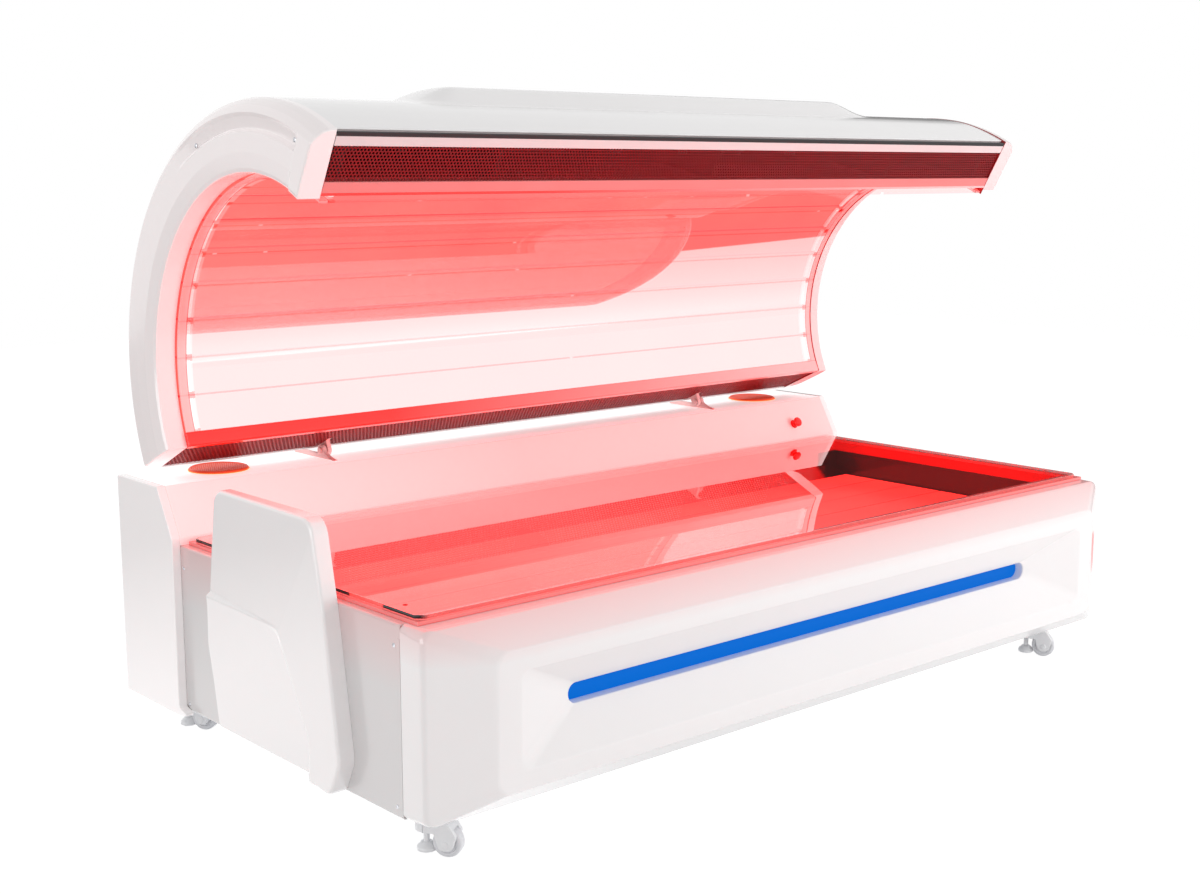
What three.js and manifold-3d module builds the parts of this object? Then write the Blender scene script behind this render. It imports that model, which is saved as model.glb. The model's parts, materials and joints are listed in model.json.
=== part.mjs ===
import * as THREE from 'three';
import { mergeVertices } from 'three/addons/utils/BufferGeometryUtils.js';
import Module from 'manifold-3d';

const wasm = await Module();
wasm.setup();

// Red light therapy bed in millimetres, +Z up.
// It is measured from the middle of the base (x), its front corners (y) and its lower edge (z).
// The finished group is moved so that its origin lies on the floor, under the middle of its box.

// Fits
const seatGap = 0.3;
const turningGap = 0.5;
const cutOverrun = 5;
const cornerReachShare = 0.49;

// Base box
const baseHalfLength = 1080;
const baseHeight = 371;
const panelSheet = 3;
const panelFlangeWidth = 30;
const panelBendRadius = 5;

// Moulded front cover, from its wrapped sides to the light slot
const coverWall = 4;
const coverWrapDepth = 67;
const coverCornerRadius = 24;
const coverBackCornerRadius = 7;
const coverEdgeRadius = 9;
const coverEdgeShares = [[1, 0], [0.3, 0.15], [-0.2, 0.55]];
const coverProjection = 67;
const rimEndInset = 119;
const rimBottom = 51;
const rimTop = 322;
const rimCornerRadius = 30;
const rimEdgeRadius = 5;
const rimEdgeShare = 0.25;
const rimEndWidth = 54;
const recessBottom = 88;
const recessTop = 281;
const recessCornerRadius = 25;
const recessDepth = 59;
const slotEndInset = 160;
const slotBottom = 166;
const slotTop = 207;
const slotWallDepth = 24;
const lensSetback = 20;
const lensThickness = 5;
const lensFlange = 6;

// Wing that stands up on the left side
const wingThickness = 36;
const wingFrontY = 226;
const wingDepth = 584;
const wingTopZ = 531;
const wingHeight = 536;
const wingHollowSlope = 10;
const wingFootProud = 4;
const wingCornerRadius = 40;
const wingCreaseRadius = 34;
const wingShoulderZ = 306;
const wingLedge = 3;
const wingShares = [
  [0.06, 0, 1],
  [0.13, 0.01, 1],
  [0.9, 0.015, 0.25],
  [0.905, 0.36, 0.5],
  [0.873, 0.52, 0.25],
  [0.815, 1, 1],
  [0.135, 1, 1],
  [0.074, 0.678, 0],
  [0, 0.138, 1],
];
const wingCreaseShares = [
  [0.19, 0.07, 0],
  [0.18, 0.17, 0.5],
  [0.365, 0.55, 0.5],
];
const wingDividerShares = [
  [0.127, 0.944],
  [0.35, 0.545],
];

// Console along the back, and the end panels of its column
const consoleFrontY = 905;
const consoleSlopeDepth = 60;
const consoleSlopeFootZ = 389.6;
const consoleTopZ = 495.5;
const consoleRearY = 1160;
const consoleRearLip = 40;
const columnPanelDepth = 20;
const columnPanelDrop = 10;
const columnFootReach = 31;
const columnFootHeight = 9;
const columnEdgeRadius = 8;
const columnCornerRadius = 20;

// Bed sheet and light well
const bedSheetThickness = 8;
const bedSheetEndInset = 26;
const bedSheetFrontY = 43;
const bedSheetRearGap = 8;
const bedCornerChamfer = 15;
const wellRimHeight = 8;
const wellRimEndMargin = 8;
const wellRimFrontMargin = 7;
const wellRimRearMargin = 3;
const wellSheet = 2;
const wellFloorZ = 268;
const wellEndInset = 4;
const wellFrontInset = 37;
const wellRearInset = 24;
const wellChamferRun = 38;
const wellChamferRise = 37;
const wellEndBandHeight = 34;
const wellEndRecess = 8;
const bedModuleThickness = 10;
const bedModuleRowDepth = 115;
const bedModuleEndInset = 14;
const bedModuleNames = ['front', 'middle', 'rear'];
const rowGroove = 3;

// Welded chassis
const tubeSize = 40;
const railEndInset = 40;
const frontRailY = 131;
const middleRailY = 800;
const rearRailInset = 70;
const postInset = 285;
const casterInset = 95;
const casterPadSize = 90;
const panSheet = 2;
const panClearance = 3;
const panVentLength = 160;
const panVentWidth = 8;
const panVentPitch = 24;
const panVentCount = 6;

// Electrics inside the base
const supplyLength = 215;
const supplyDepth = 115;
const supplyHeight = 50;
const supplyCoverSheet = 2;
const supplySlotsShare = 0.6;
const supplyEarLength = 16;
const supplyX = 420;
const supplyY = 470;
const boxLength = 320;
const boxDepth = 220;
const boxHeight = 110;
const boxCornerRadius = 12;
const boxLidHeight = 16;
const boxLidMargin = 4;

// Back cover, fan and inlet
const louvreWidth = 220;
const louvreHeight = 7;
const louvrePitch = 20;
const louvreCount = 7;
const louvreInset = 360;
const louvreZ = 250;
const fanSize = 120;
const fanDepth = 25;
const fanBoreRadius = 56;
const fanHubRadius = 20;
const fanShaftRadius = 4;
const fanStrutWidth = 6;
const fanStrutDepth = 4;
const fanBladeThickness = 2.5;
const fanBladeCount = 7;
const fanBladeSweepShare = 0.7;
const fanBladeRootShare = 0.8;
const fanShaftShare = 0.8;
const fanCornerRadius = 8;
const fanZ = 200;
const guardRingWidth = 5;
const guardSlotWidth = 8;
const guardSpokeWidth = 8;
const guardRings = [0, 1, 2];
const inletInset = 260;
const inletZ = 90;
const inletWidth = 50;
const inletHeight = 30;
const inletFlange = 5;
const inletFlangeThickness = 3;
const inletDepth = 28;
const inletWall = 4;
const inletPinLength = 14;
const inletPinWidth = 4;
const inletPinThickness = 2;
const inletPinPitch = 12;

// Loudspeakers on the console
const speakerInset = 187;
const speakerRearInset = 90;
const grilleRadius = 68;
const grilleHeight = 6;
const grilleRimWidth = 7;
const grilleSheet = 2;
const grilleHoleRadius = 5;
const grilleHolePitch = 20;
const grilleHolesInRing = 6;
const driverRadius = 62;
const driverMouthRadius = 54;
const driverDepth = 48;
const magnetRadius = 32;
const magnetDepth = 16;
const driverFlange = 4;
const driverBasketRadius = 25.6;
const dustCapRadius = 22.4;
const dustCapCrownRadius = 11.2;
const dustCapHeights = [8, 12, 14];

// Stop button on the console's slope
const stopInset = 154;
const stopSlopeShare = 0.62;
const stopSocketRadius = 9.75;
const stopSocketHeight = 9;
const stopBezelRadius = 13;
const stopBezelHeight = 2;
const stopThreadRadius = 8;
const stopThreadLength = 26;
const stopStemRadius = 5.5;
const stopTravel = 6;
const stopHeadRadius = 14;
const stopHeadHeight = 9.5;
const stopHeadRim = 4;
const stopStemLength = 20;

// Canopy hinges
const hingeSetback = 125;
const hingeHeight = 19.5;
const hingePlateInset = 444;
const hingePlateThickness = 10;
const hingePlateHeight = 12;
const hingePlateRearInset = 4;
const hingePlateFootReach = 181;
const hingePlateFootTip = 3;
const hingeSweepShares = [0.8, 0.45];
const hingeBossRadius = 14;
const hingeLugRadius = 14;
const hingeLugGap = 3;
const hingePinRadius = 5;
const hingePinHeadRadius = 8;
const hingePinHeadHeight = 4;
const hingeSlotMargin = 6;

// Canopy arc, about an axis that lies above the bed
const arcSetForward = 473;
const arcSetUp = 241;
const arcOuterRadius = 561;
const shellWall = 4;
const shellFrontRadius = 559;
const frontFaceAngle = 118.4;
const rearFaceAngle = -25.3;
const shellFrontSetback = 14;
const capJointInset = 44;
const capLength = 52;
const capWall = 4;
const capInnerRadius = 417;
const capRidgeRadius = 494;
const capGrooveDepth = 8;
const capGrooveFadeStartAngle = 60;
const capGrooveFullAngle = 68;
const capGrooveEndAngle = 112;
const capBlockAngle = 113;
const capEdgeRadius = 15;
const capEdgeShares = [[0.25, 1], [1, 0.3], [2.4, 0]];
const capFaceShares = [[0, 0], [0.92, -0.01], [1, 0.03]];
const capRingSpacing = 2;
const linerRadius = 407;
const linerThickness = 5;
const linerEndGap = 2;
const moduleInnerRadius = 425;
const moduleThickness = 12;
const moduleEndInset = 6;
const moduleCount = 6;

// Hump along the top of the canopy
const humpHeight = 33;
const humpEndInset = 314;
const humpRampLength = 122;
const humpFrontAngle = 100;
const humpTopFrontAngle = 92;
const humpTopRearAngle = 80;
const humpRearAngle = 66;

// Rails and grilles of the canopy's two long edges
const upperRailGap = 1.4;
const upperRailInnerRadius = 528;
const lowerRailOuterRadius = 453;
const lowerRailInnerRadius = 424;
const railWall = 3;
const railDepth = 22;
const rearRailInnerRadius = 406;
const rearRailOuterRadius = 425;
const rearRailDepth = 32;
const grilleSetback = 2;
const canopyGrilleSheet = 2;
const frontHoleRadius = 10;
const frontHolePitch = 158;
const frontHoleRowPitch = 22;
const rearHoleRadius = 15;
const rearHolePitch = 226;
const rearHoleRowPitch = 42;

// Canopy frame
const ribThickness = 10;
const endRibInset = 40;
const ribHoleRadius = 34;
const ribHoleStepAngle = 27;
const ribHoleStartShare = 0.7;
const barWidth = 30;
const barRadius = 500;
const barHolesBehind = [1, 3, 4];
const barStartShare = 0.2;
const lugRootAngle = 8;

// Levelling casters
const floorDrop = 111.5;
const wheelRadius = 29.5;
const wheelWidth = 24;
const wheelTrailX = 25;
const wheelTrailY = -37;
const wheelAxleRadius = 4;
const wheelHubRadius = 11;
const wheelRimRadius = 21;
const wheelRimRecess = 3;
const wheelTreadRound = 5;
const forkWidth = 46;
const forkWheelGap = 2.5;
const forkBearingRadius = 28;
const forkBearingHeight = 8;
const forkHubRadius = 22;
const forkHubHeight = 62;
const forkHoodRound = 16;
const forkHoodShares = { front: 0.75, brow: 0.6, crown: 0.3, top: 1.25, back: 0.4, heel: 0.5 };
const forkCheekRadius = 13;
const footStemRadius = 6;
const footStemLength = 72;
const footPadRadius = 19.5;
const footPadNeckRadius = 11;
const footPadHeight = 17;
const footPadEdge = 5;
const footLift = 7.9;

// Rounds are drawn with these counts
const cornerSegments = 4;
const bladeSegments = 2;
const rampSegments = 3;
const forkSegments = 3;
const holeSegments = 6;
const smallRoundSegments = 12;
const ribSegments = 12;
const wheelSegments = 14;
const roundSegments = 20;
const capSegments = 26;
const arcSegments = 32;

// Places that follow from the sizes above
const rimHalfLength = baseHalfLength - rimEndInset;
const recessHalfLength = rimHalfLength - rimEndWidth;
const slotHalfLength = recessHalfLength - slotEndInset;
const railHalfLength = baseHalfLength - railEndInset;
const louvreX = baseHalfLength - louvreInset;
const inletX = baseHalfLength - inletInset;
const speakerX = baseHalfLength - speakerInset;
const speakerY = consoleRearY - speakerRearInset;
const stopX = baseHalfLength - stopInset;
const hingePlateX = baseHalfLength - hingePlateInset;
const capJointX = baseHalfLength - capJointInset;
const humpHalfLength = capJointX - humpEndInset;
const humpFlatHalfLength = humpHalfLength - humpRampLength;
const lensY = lensSetback - (coverProjection - recessDepth);
const consoleEdgeY = consoleFrontY + consoleSlopeDepth;
const consoleFootZ = baseHeight + seatGap;
const bedSheetRearY = consoleFrontY - bedSheetRearGap;
const bedSheetHalfLength = baseHalfLength - bedSheetEndInset;
const bedSheetBottomZ = baseHeight + wellRimHeight;
const wellRimTopZ = bedSheetBottomZ - seatGap;
const wellFrontY = bedSheetFrontY + wellFrontInset;
const wellRearY = bedSheetRearY - wellRearInset;
const wellHalfLength = bedSheetHalfLength - wellEndInset;
const panBottomZ = panelSheet + seatGap;
const panTopZ = panBottomZ + panSheet;
const railBottomZ = panTopZ + seatGap;
const railTopZ = railBottomZ + tubeSize;
const rearRailY = consoleRearY - rearRailInset;
const casterX = baseHalfLength - casterInset;
const hingeY = consoleRearY - hingeSetback;
const hingeZ = consoleTopZ + hingeHeight;
const arcY = hingeY - arcSetForward;
const arcZ = hingeZ + arcSetUp;
const lugX = hingePlateX - hingePlateThickness / 2 - hingeLugGap - ribThickness / 2;
const moduleOuterRadius = moduleInnerRadius + moduleThickness;
const wheelTrail = Math.hypot(wheelTrailX, wheelTrailY);

// Materials
function finish(color, roughness, metalness = 0) {
  return new THREE.MeshStandardMaterial({ color, roughness, metalness });
}
const whiteGloss = finish('#f3f1f1', 0.22);
const whiteSheet = finish('#efeded', 0.35);
const clearSheet = finish('#ffc9c9', 0.05);
const redLightBoard = finish('#ff5a50', 0.5);
const redEnamel = finish('#d4201c', 0.35);
const redMesh = finish('#8a1418', 0.45, 0.3);
const blueLight = finish('#0a70d6', 0.3);
const orangeMesh = finish('#e8471e', 0.45, 0.2);
const blackPlastic = finish('#1c1c1e', 0.5);
const galvanised = finish('#b9bcc0', 0.45, 0.8);
const aluminium = finish('#cdd0d4', 0.35, 0.9);
const brightSteel = finish('#d8d9db', 0.25, 1);
const redButton = finish('#d81a16', 0.3);
const greyNylon = finish('#e6e6e8', 0.5);
const greyRubber = finish('#b8b8bc', 0.8);

const bed = new THREE.Group();
const canopy = new THREE.Group();
canopy.position.set(0, arcY, arcZ);
bed.add(canopy);

// Puts one sub-part in a group under its own name.
function place(name, geometry, material, parent = bed) {
  const mesh = new THREE.Mesh(geometry, material);
  mesh.name = name;
  parent.add(mesh);
  return mesh;
}

// One closed body: shared points merged, flat slivers dropped and faces turned outwards.
function closedBody(source) {
  const bare = new THREE.BufferGeometry();
  bare.setAttribute('position', source.getAttribute('position').clone());
  if (source.index) bare.setIndex(source.index.clone());
  const merged = mergeVertices(bare);
  const corners = merged.index.array;
  const points = merged.getAttribute('position');
  const [a, b, c] = [new THREE.Vector3(), new THREE.Vector3(), new THREE.Vector3()];
  const kept = [];
  let volume = 0;
  for (let i = 0; i < corners.length; i += 3) {
    const [p, q, r] = corners.subarray(i, i + 3);
    if (p === q || q === r || r === p) continue;
    kept.push(p, q, r);
    a.fromBufferAttribute(points, p);
    b.fromBufferAttribute(points, q);
    c.fromBufferAttribute(points, r);
    volume += a.dot(b.cross(c));
  }
  merged.setIndex(volume < 0 ? kept.reverse() : kept);
  merged.computeVertexNormals();
  return merged;
}

// Booleans
function solidOf(geometry) {
  const body = closedBody(geometry);
  return new wasm.Manifold(new wasm.Mesh({
    numProp: 3,
    vertProperties: Float32Array.from(body.getAttribute('position').array),
    triVerts: Uint32Array.from(body.index.array),
  }));
}

function geometryOf(solid) {
  const mesh = solid.getMesh();
  const geometry = new THREE.BufferGeometry();
  geometry.setAttribute('position', new THREE.BufferAttribute(Float32Array.from(mesh.vertProperties), 3));
  geometry.setIndex([...mesh.triVerts]);
  return closedBody(geometry);
}

const join = (...geometries) => geometryOf(geometries.map(solidOf).reduce((a, b) => a.add(b)));
const cut = (base, ...tools) => geometryOf(tools.map(solidOf).reduce((a, b) => a.subtract(b), solidOf(base)));

// Outlines
const right = new THREE.Vector3(1, 0, 0);
const back = new THREE.Vector3(0, 1, 0);
const up = new THREE.Vector3(0, 0, 1);
const flat = (a, b) => new THREE.Vector2(a, b);
const radians = THREE.MathUtils.degToRad;
const degrees = THREE.MathUtils.radToDeg;
const mix = THREE.MathUtils.lerp;
const steps = (count) => Array.from({ length: count + 1 }, (_, i) => i / count);

// A polygon of [across, up, radius] corners with each rounded corner drawn as an arc.
function roundCorners(corners, segments = cornerSegments) {
  return corners.flatMap(([u, v, radius = 0], index) => {
    const here = flat(u, v);
    if (radius === 0) return [here];
    const toward = ([a, b]) => flat(a, b).sub(here);
    const before = toward(corners.at(index - 1));
    const after = toward(corners[(index + 1) % corners.length]);
    const halfAngle = Math.abs(before.angleTo(after)) / 2;
    const room = Math.min(before.length(), after.length()) * cornerReachShare;
    const reach = Math.min(radius / Math.tan(halfAngle), room);
    before.normalize();
    after.normalize();
    const middle = before.clone().add(after).normalize();
    const centre = here.clone().addScaledVector(middle, reach / Math.cos(halfAngle));
    const start = here.clone().addScaledVector(before, reach).sub(centre);
    const end = here.clone().addScaledVector(after, reach).sub(centre);
    const turn = Math.atan2(start.cross(end), start.dot(end));
    return steps(segments).map((share) => start.clone().rotateAround(flat(0, 0), turn * share).add(centre));
  });
}

// The same polygon moved inwards by a distance, with mitred corners.
function inset(points, distance) {
  const side = THREE.ShapeUtils.isClockWise(points) ? -1 : 1;
  return points.map((here, index) => {
    const before = points.at(index - 1);
    const after = points[(index + 1) % points.length];
    const arriving = here.clone().sub(before).normalize();
    const leaving = after.clone().sub(here).normalize();
    const mitre = flat(-arriving.y - leaving.y, arriving.x + leaving.x);
    return here.clone().addScaledVector(mitre, (2 * side * distance) / mitre.lengthSq());
  });
}

const rectangle = (u0, u1, v0, v1) => [flat(u0, v0), flat(u1, v0), flat(u1, v1), flat(u0, v1)];

function circle(u, v, radius, segments = roundSegments) {
  return Array.from({ length: segments }, (_, i) => {
    const angle = (2 * Math.PI * i) / segments;
    return flat(u + radius * Math.cos(angle), v + radius * Math.sin(angle));
  });
}

// Extrusions: an outline in (y, z) runs along x, one in (x, z) along y and one in (x, y) along z.
const layouts = {
  x: new THREE.Matrix4().makeBasis(back, up, right),
  y: new THREE.Matrix4().makeBasis(right, up, back.clone().negate()),
  z: new THREE.Matrix4(),
};

function extrude(axis, outline, from, to, holes = []) {
  const options = { depth: to - from, bevelEnabled: false };
  const geometry = new THREE.ExtrudeGeometry(new THREE.Shape(outline), options);
  geometry.translate(0, 0, axis === 'y' ? -to : from);
  geometry.applyMatrix4(layouts[axis]);
  const punches = holes.map((hole) => extrude(axis, hole, from - cutOverrun, to + cutOverrun));
  return punches.length > 0 ? cut(geometry, ...punches) : geometry;
}

const block = (x0, x1, y0, y1, z0, z1) => extrude('z', rectangle(x0, x1, y0, y1), z0, z1);

// A body of revolution about z from a closed profile of [radius, z] points.
function revolve(profile, segments = roundSegments) {
  const points = profile.map(([radius, z]) => flat(radius, z));
  return new THREE.LatheGeometry(points, segments).rotateX(Math.PI / 2);
}

const cylinder = (radius, z0, z1, segments = roundSegments) =>
  revolve([[0, z0], [radius, z0], [radius, z1], [0, z1]], segments);

// A skin through rings of equal count, closed on itself or capped at both ends.
function loft(rings, closedOnItself = false) {
  const count = rings[0].length;
  const index = [];
  rings.forEach((_, i) => {
    if (i === rings.length - 1 && !closedOnItself) return;
    const next = ((i + 1) % rings.length) * count;
    for (let j = 0; j < count; j += 1) {
      const k = (j + 1) % count;
      index.push(i * count + j, i * count + k, next + k);
      index.push(i * count + j, next + k, next + j);
    }
  });
  if (!closedOnItself) {
    const last = (rings.length - 1) * count;
    capTriangles(rings[0]).forEach(([a, b, c]) => index.push(c, b, a));
    capTriangles(rings.at(-1)).forEach(([a, b, c]) => index.push(last + a, last + b, last + c));
  }
  const geometry = new THREE.BufferGeometry().setFromPoints(rings.flat());
  geometry.setIndex(index);
  return closedBody(geometry);
}

// Triangles of a flat ring, wound as the ring runs.
function capTriangles(ring) {
  const normal = new THREE.Vector3();
  ring.forEach((p, i) => normal.add(p.clone().cross(ring[(i + 1) % ring.length])));
  normal.normalize();
  const across = (Math.abs(normal.x) > Math.abs(normal.z) ? back : right).clone();
  across.addScaledVector(normal, -across.dot(normal)).normalize();
  const along = normal.clone().cross(across);
  const drawn = ring.map((p) => flat(p.dot(across), p.dot(along)));
  return THREE.ShapeUtils.triangulateShape(drawn, []);
}

// Canopy outlines are drawn about the arc's axis, by radius and angle from the back.
const polar = (radius, angle) => flat(radius * Math.cos(radians(angle)), radius * Math.sin(radians(angle)));

// Angles of points that lie a depth behind one of the arc's end faces.
const nearFront = (radius, depth) => frontFaceAngle - degrees(Math.asin(depth / radius));
const nearRear = (radius, depth) => rearFaceAngle + degrees(Math.asin(depth / radius));

function arcPoints(radius, rearDepth, frontDepth, segments) {
  const [start, end] = [nearRear(radius, rearDepth), nearFront(radius, frontDepth)];
  return steps(segments).map((share) => polar(radius, mix(start, end, share)));
}

// A profile against an end face of the arc: radius, and depth back from the face.
function againstFace(faceAngle, inward, profile) {
  const outwards = polar(1, faceAngle);
  const depthwards = polar(1, faceAngle + inward * 90);
  return profile.map(([radius, depth]) =>
    outwards.clone().multiplyScalar(radius).addScaledVector(depthwards, depth));
}

const againstFront = (profile) => againstFace(frontFaceAngle, -1, profile);
const againstRear = (profile) => againstFace(rearFaceAngle, 1, profile);

// Front cover: a rounded rectangle carried over its wrapped sides, rim, recess and slot, then back inside.
function coverRing(panel, y, grow) {
  const { halfLength, bottom, top, radius } = panel;
  const reach = halfLength + grow;
  const corner = Math.max(radius + grow, coverWall);
  const outline = roundCorners([
    [-reach, bottom - grow, corner],
    [reach, bottom - grow, corner],
    [reach, top + grow, corner],
    [-reach, top + grow, corner],
  ]);
  return outline.map((p) => new THREE.Vector3(p.x, y, p.y));
}

function frontCover() {
  const back = { halfLength: baseHalfLength, bottom: 0, top: baseHeight, radius: coverBackCornerRadius };
  const face = { ...back, radius: coverCornerRadius };
  const rim = { halfLength: rimHalfLength, bottom: rimBottom, top: rimTop, radius: rimCornerRadius };
  const recess = {
    halfLength: recessHalfLength, bottom: recessBottom, top: recessTop, radius: recessCornerRadius,
  };
  const slot = {
    halfLength: slotHalfLength, bottom: slotBottom, top: slotTop, radius: (slotTop - slotBottom) / 2,
  };
  const slotY = recessDepth - coverProjection;
  const slope = Math.hypot(coverProjection, baseHalfLength - rimHalfLength);
  const rimLift = (rimEdgeRadius * coverProjection) / slope;
  const rimSpread = (rimEdgeRadius * (baseHalfLength - rimHalfLength)) / slope;
  const outside = [
    coverRing(back, coverWrapDepth, 0),
    ...coverEdgeShares.map(([depth, inwards]) =>
      coverRing(inwards > 0 ? face : back, coverEdgeRadius * depth, -coverEdgeRadius * inwards)),
    coverRing(rim, rimLift - coverProjection, rimSpread),
    coverRing(rim, rimLift * rimEdgeShare - coverProjection, rimSpread * rimEdgeShare),
    coverRing(rim, -coverProjection, -rimEdgeRadius),
    coverRing(recess, -coverProjection, rimEdgeRadius),
    coverRing(recess, rimEdgeRadius * rimEdgeShare - coverProjection, rimEdgeRadius * rimEdgeShare),
    coverRing(recess, rimEdgeRadius - coverProjection, -rimEdgeRadius),
    coverRing(slot, slotY, 0),
    coverRing(slot, slotY + slotWallDepth, 0),
  ];
  const inside = [
    coverRing(slot, slotY + slotWallDepth, coverWall),
    coverRing(slot, slotY + coverWall * 2, coverWall),
    coverRing(recess, rimEdgeRadius + coverWall - coverProjection, coverWall),
    coverRing(rim, rimEdgeRadius + coverWall - coverProjection, -coverWall),
    coverRing(face, coverWall, -coverWall * 2),
    coverRing(back, coverEdgeRadius + coverWall, -coverWall),
    coverRing(back, coverWrapDepth, -coverWall),
  ];
  return loft([...outside, ...inside], true);
}

function frontLens() {
  const height = slotTop - slotBottom;
  const middle = (slotTop + slotBottom) / 2;
  const pill = (grow) => {
    const [long, high] = [slotHalfLength + grow, height / 2 + grow];
    return roundCorners([
      [-long, middle - high, high],
      [long, middle - high, high],
      [long, middle + high, high],
      [-long, middle + high, high],
    ]);
  };
  const slotEndY = recessDepth - coverProjection + slotWallDepth;
  const window = extrude('y', pill(-seatGap), lensY, slotEndY + lensThickness);
  const flange = extrude('y', pill(lensFlange), slotEndY + seatGap, slotEndY + lensThickness);
  return join(window, flange);
}

place('front_panel', frontCover(), whiteGloss);
place('front_light_lens', frontLens(), blueLight);

// Side sheets: a channel whose flanges carry the well's rim above and the floor pan below.
function sidePanel(side) {
  const outer = side * baseHalfLength;
  const ledgeEdge = side * (wellHalfLength + wellSheet + seatGap);
  const innerEdge = side * (baseHalfLength - panelFlangeWidth);
  const web = side * (baseHalfLength - panelSheet);
  const profile = roundCorners([
    [outer, 0, panelBendRadius],
    [outer, baseHeight, panelBendRadius],
    [ledgeEdge, baseHeight],
    [ledgeEdge, baseHeight - panelSheet],
    [web, baseHeight - panelSheet, panelBendRadius - panelSheet],
    [web, panelSheet, panelBendRadius - panelSheet],
    [innerEdge, panelSheet],
    [innerEdge, 0],
  ]);
  return extrude('y', profile, coverWrapDepth + seatGap, consoleRearY - panelSheet - seatGap);
}

place('left_side_panel', sidePanel(-1), whiteGloss);
place('right_side_panel', sidePanel(1), whiteGloss);

// Wing: one moulding with a front strip, a hollowed upper facet and a lower facet that runs out at the foot.
function wingPanel() {
  const inner = -baseHalfLength - seatGap;
  const outer = -baseHalfLength - wingThickness;
  const footZ = wingTopZ - wingHeight;
  const spot = ([across, rise]) => [wingFrontY + wingDepth * across, footZ + wingHeight * rise];
  const outline = roundCorners(wingShares.map((share) => [...spot(share), wingCornerRadius * share[2]]));
  const plate = extrude('x', outline, outer, inner);

  const [divideTop, divideFoot] = wingDividerShares.map(spot).map(([y, z]) => flat(y, z));
  const along = divideFoot.clone().sub(divideTop).normalize();
  const farY = wingFrontY + wingDepth + cutOverrun;
  const farZ = wingTopZ + cutOverrun;
  const hollowOutline = [
    divideFoot,
    flat(farY, wingShoulderZ),
    flat(farY, farZ),
    flat(divideTop.x - (farZ - divideTop.y) * (along.x / -along.y), farZ),
  ];
  const hollowSlope = wingHollowSlope / (wingDepth / 2);
  const hollow = wedge(hollowOutline, (y, z) => {
    const away = flat(y, z).sub(divideFoot);
    return outer + hollowSlope * Math.abs(along.cross(away));
  }, outer - cutOverrun);

  const crease = wingCreaseShares.map((share) => [...spot(share), wingCreaseRadius * share[2]]);
  const [creaseFoot] = crease;
  const facetTopZ = wingShoulderZ - wingLedge;
  const facetOutline = roundCorners([
    [creaseFoot[0], footZ - cutOverrun],
    ...crease,
    [crease.at(-1)[0] + wingCreaseRadius * 2, facetTopZ, wingCreaseRadius],
    [farY, facetTopZ],
    [farY, footZ - cutOverrun],
  ]);
  const runOut = (wingThickness - wingFootProud) / (facetTopZ - footZ);
  const facet = wedge(facetOutline, (y, z) => outer + runOut * (facetTopZ - z), outer - cutOverrun);
  return cut(plate, hollow, facet);
}

// A prism along x from a flat end to a sloping one, whose x is a function of y and z.
function wedge(outline, slopingX, flatX) {
  const sloping = outline.map((p) => new THREE.Vector3(slopingX(p.x, p.y), p.x, p.y));
  const level = outline.map((p) => new THREE.Vector3(flatX, p.x, p.y));
  return loft([level, sloping]);
}

place('left_wing_panel', wingPanel(), whiteGloss);

// Console: one folded sheet over the full length, with the column's end panels outside it.
const consoleOutline = [
  [consoleFrontY, consoleFootZ],
  [consoleRearY, consoleFootZ],
  [consoleRearY, consoleTopZ],
  [consoleEdgeY, consoleTopZ],
  [consoleFrontY, consoleSlopeFootZ],
];
const slopeRise = consoleTopZ - consoleSlopeFootZ;
const slopeLength = Math.hypot(consoleSlopeDepth, slopeRise);
const slopeNormal = new THREE.Vector3(0, -slopeRise / slopeLength, consoleSlopeDepth / slopeLength);
const stopSeat = new THREE.Vector3(
  stopX,
  mix(consoleEdgeY, consoleFrontY, stopSlopeShare),
  mix(consoleTopZ, consoleSlopeFootZ, stopSlopeShare),
);
const slopeTurn = new THREE.Quaternion().setFromUnitVectors(up, slopeNormal);
const onSlope = new THREE.Matrix4().compose(stopSeat, slopeTurn, new THREE.Vector3(1, 1, 1));

function consoleShell() {
  const outer = roundCorners([
    [consoleFrontY, consoleFootZ],
    [consoleRearY, consoleFootZ],
    [consoleRearY, consoleTopZ, panelBendRadius],
    [consoleEdgeY, consoleTopZ, panelBendRadius],
    [consoleFrontY, consoleSlopeFootZ, panelBendRadius],
  ]);
  const body = extrude('x', outer, -baseHalfLength, baseHalfLength);
  const farX = baseHalfLength + cutOverrun;
  const cavity = extrude('x', inset(outer, panelSheet), -farX, farX);
  const openFloor = block(-farX, farX, consoleFrontY + panelSheet, consoleRearY - panelSheet,
    consoleFootZ - cutOverrun, consoleFootZ + panelSheet + cutOverrun);
  const openRear = block(-farX, farX, consoleRearY - panelSheet - cutOverrun, consoleRearY + cutOverrun,
    consoleFootZ - cutOverrun, consoleTopZ - consoleRearLip);
  const speakerHoles = [-1, 1].map((side) =>
    cylinder(driverMouthRadius, consoleTopZ - panelSheet - cutOverrun, consoleTopZ + cutOverrun)
      .translate(side * speakerX, speakerY, 0));
  const holeFoot = -panelSheet - cutOverrun;
  const stopHole = cylinder(stopThreadRadius + seatGap, holeFoot, cutOverrun, smallRoundSegments)
    .applyMatrix4(onSlope);
  return cut(body, cavity, openFloor, openRear, ...speakerHoles, stopHole);
}

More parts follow.
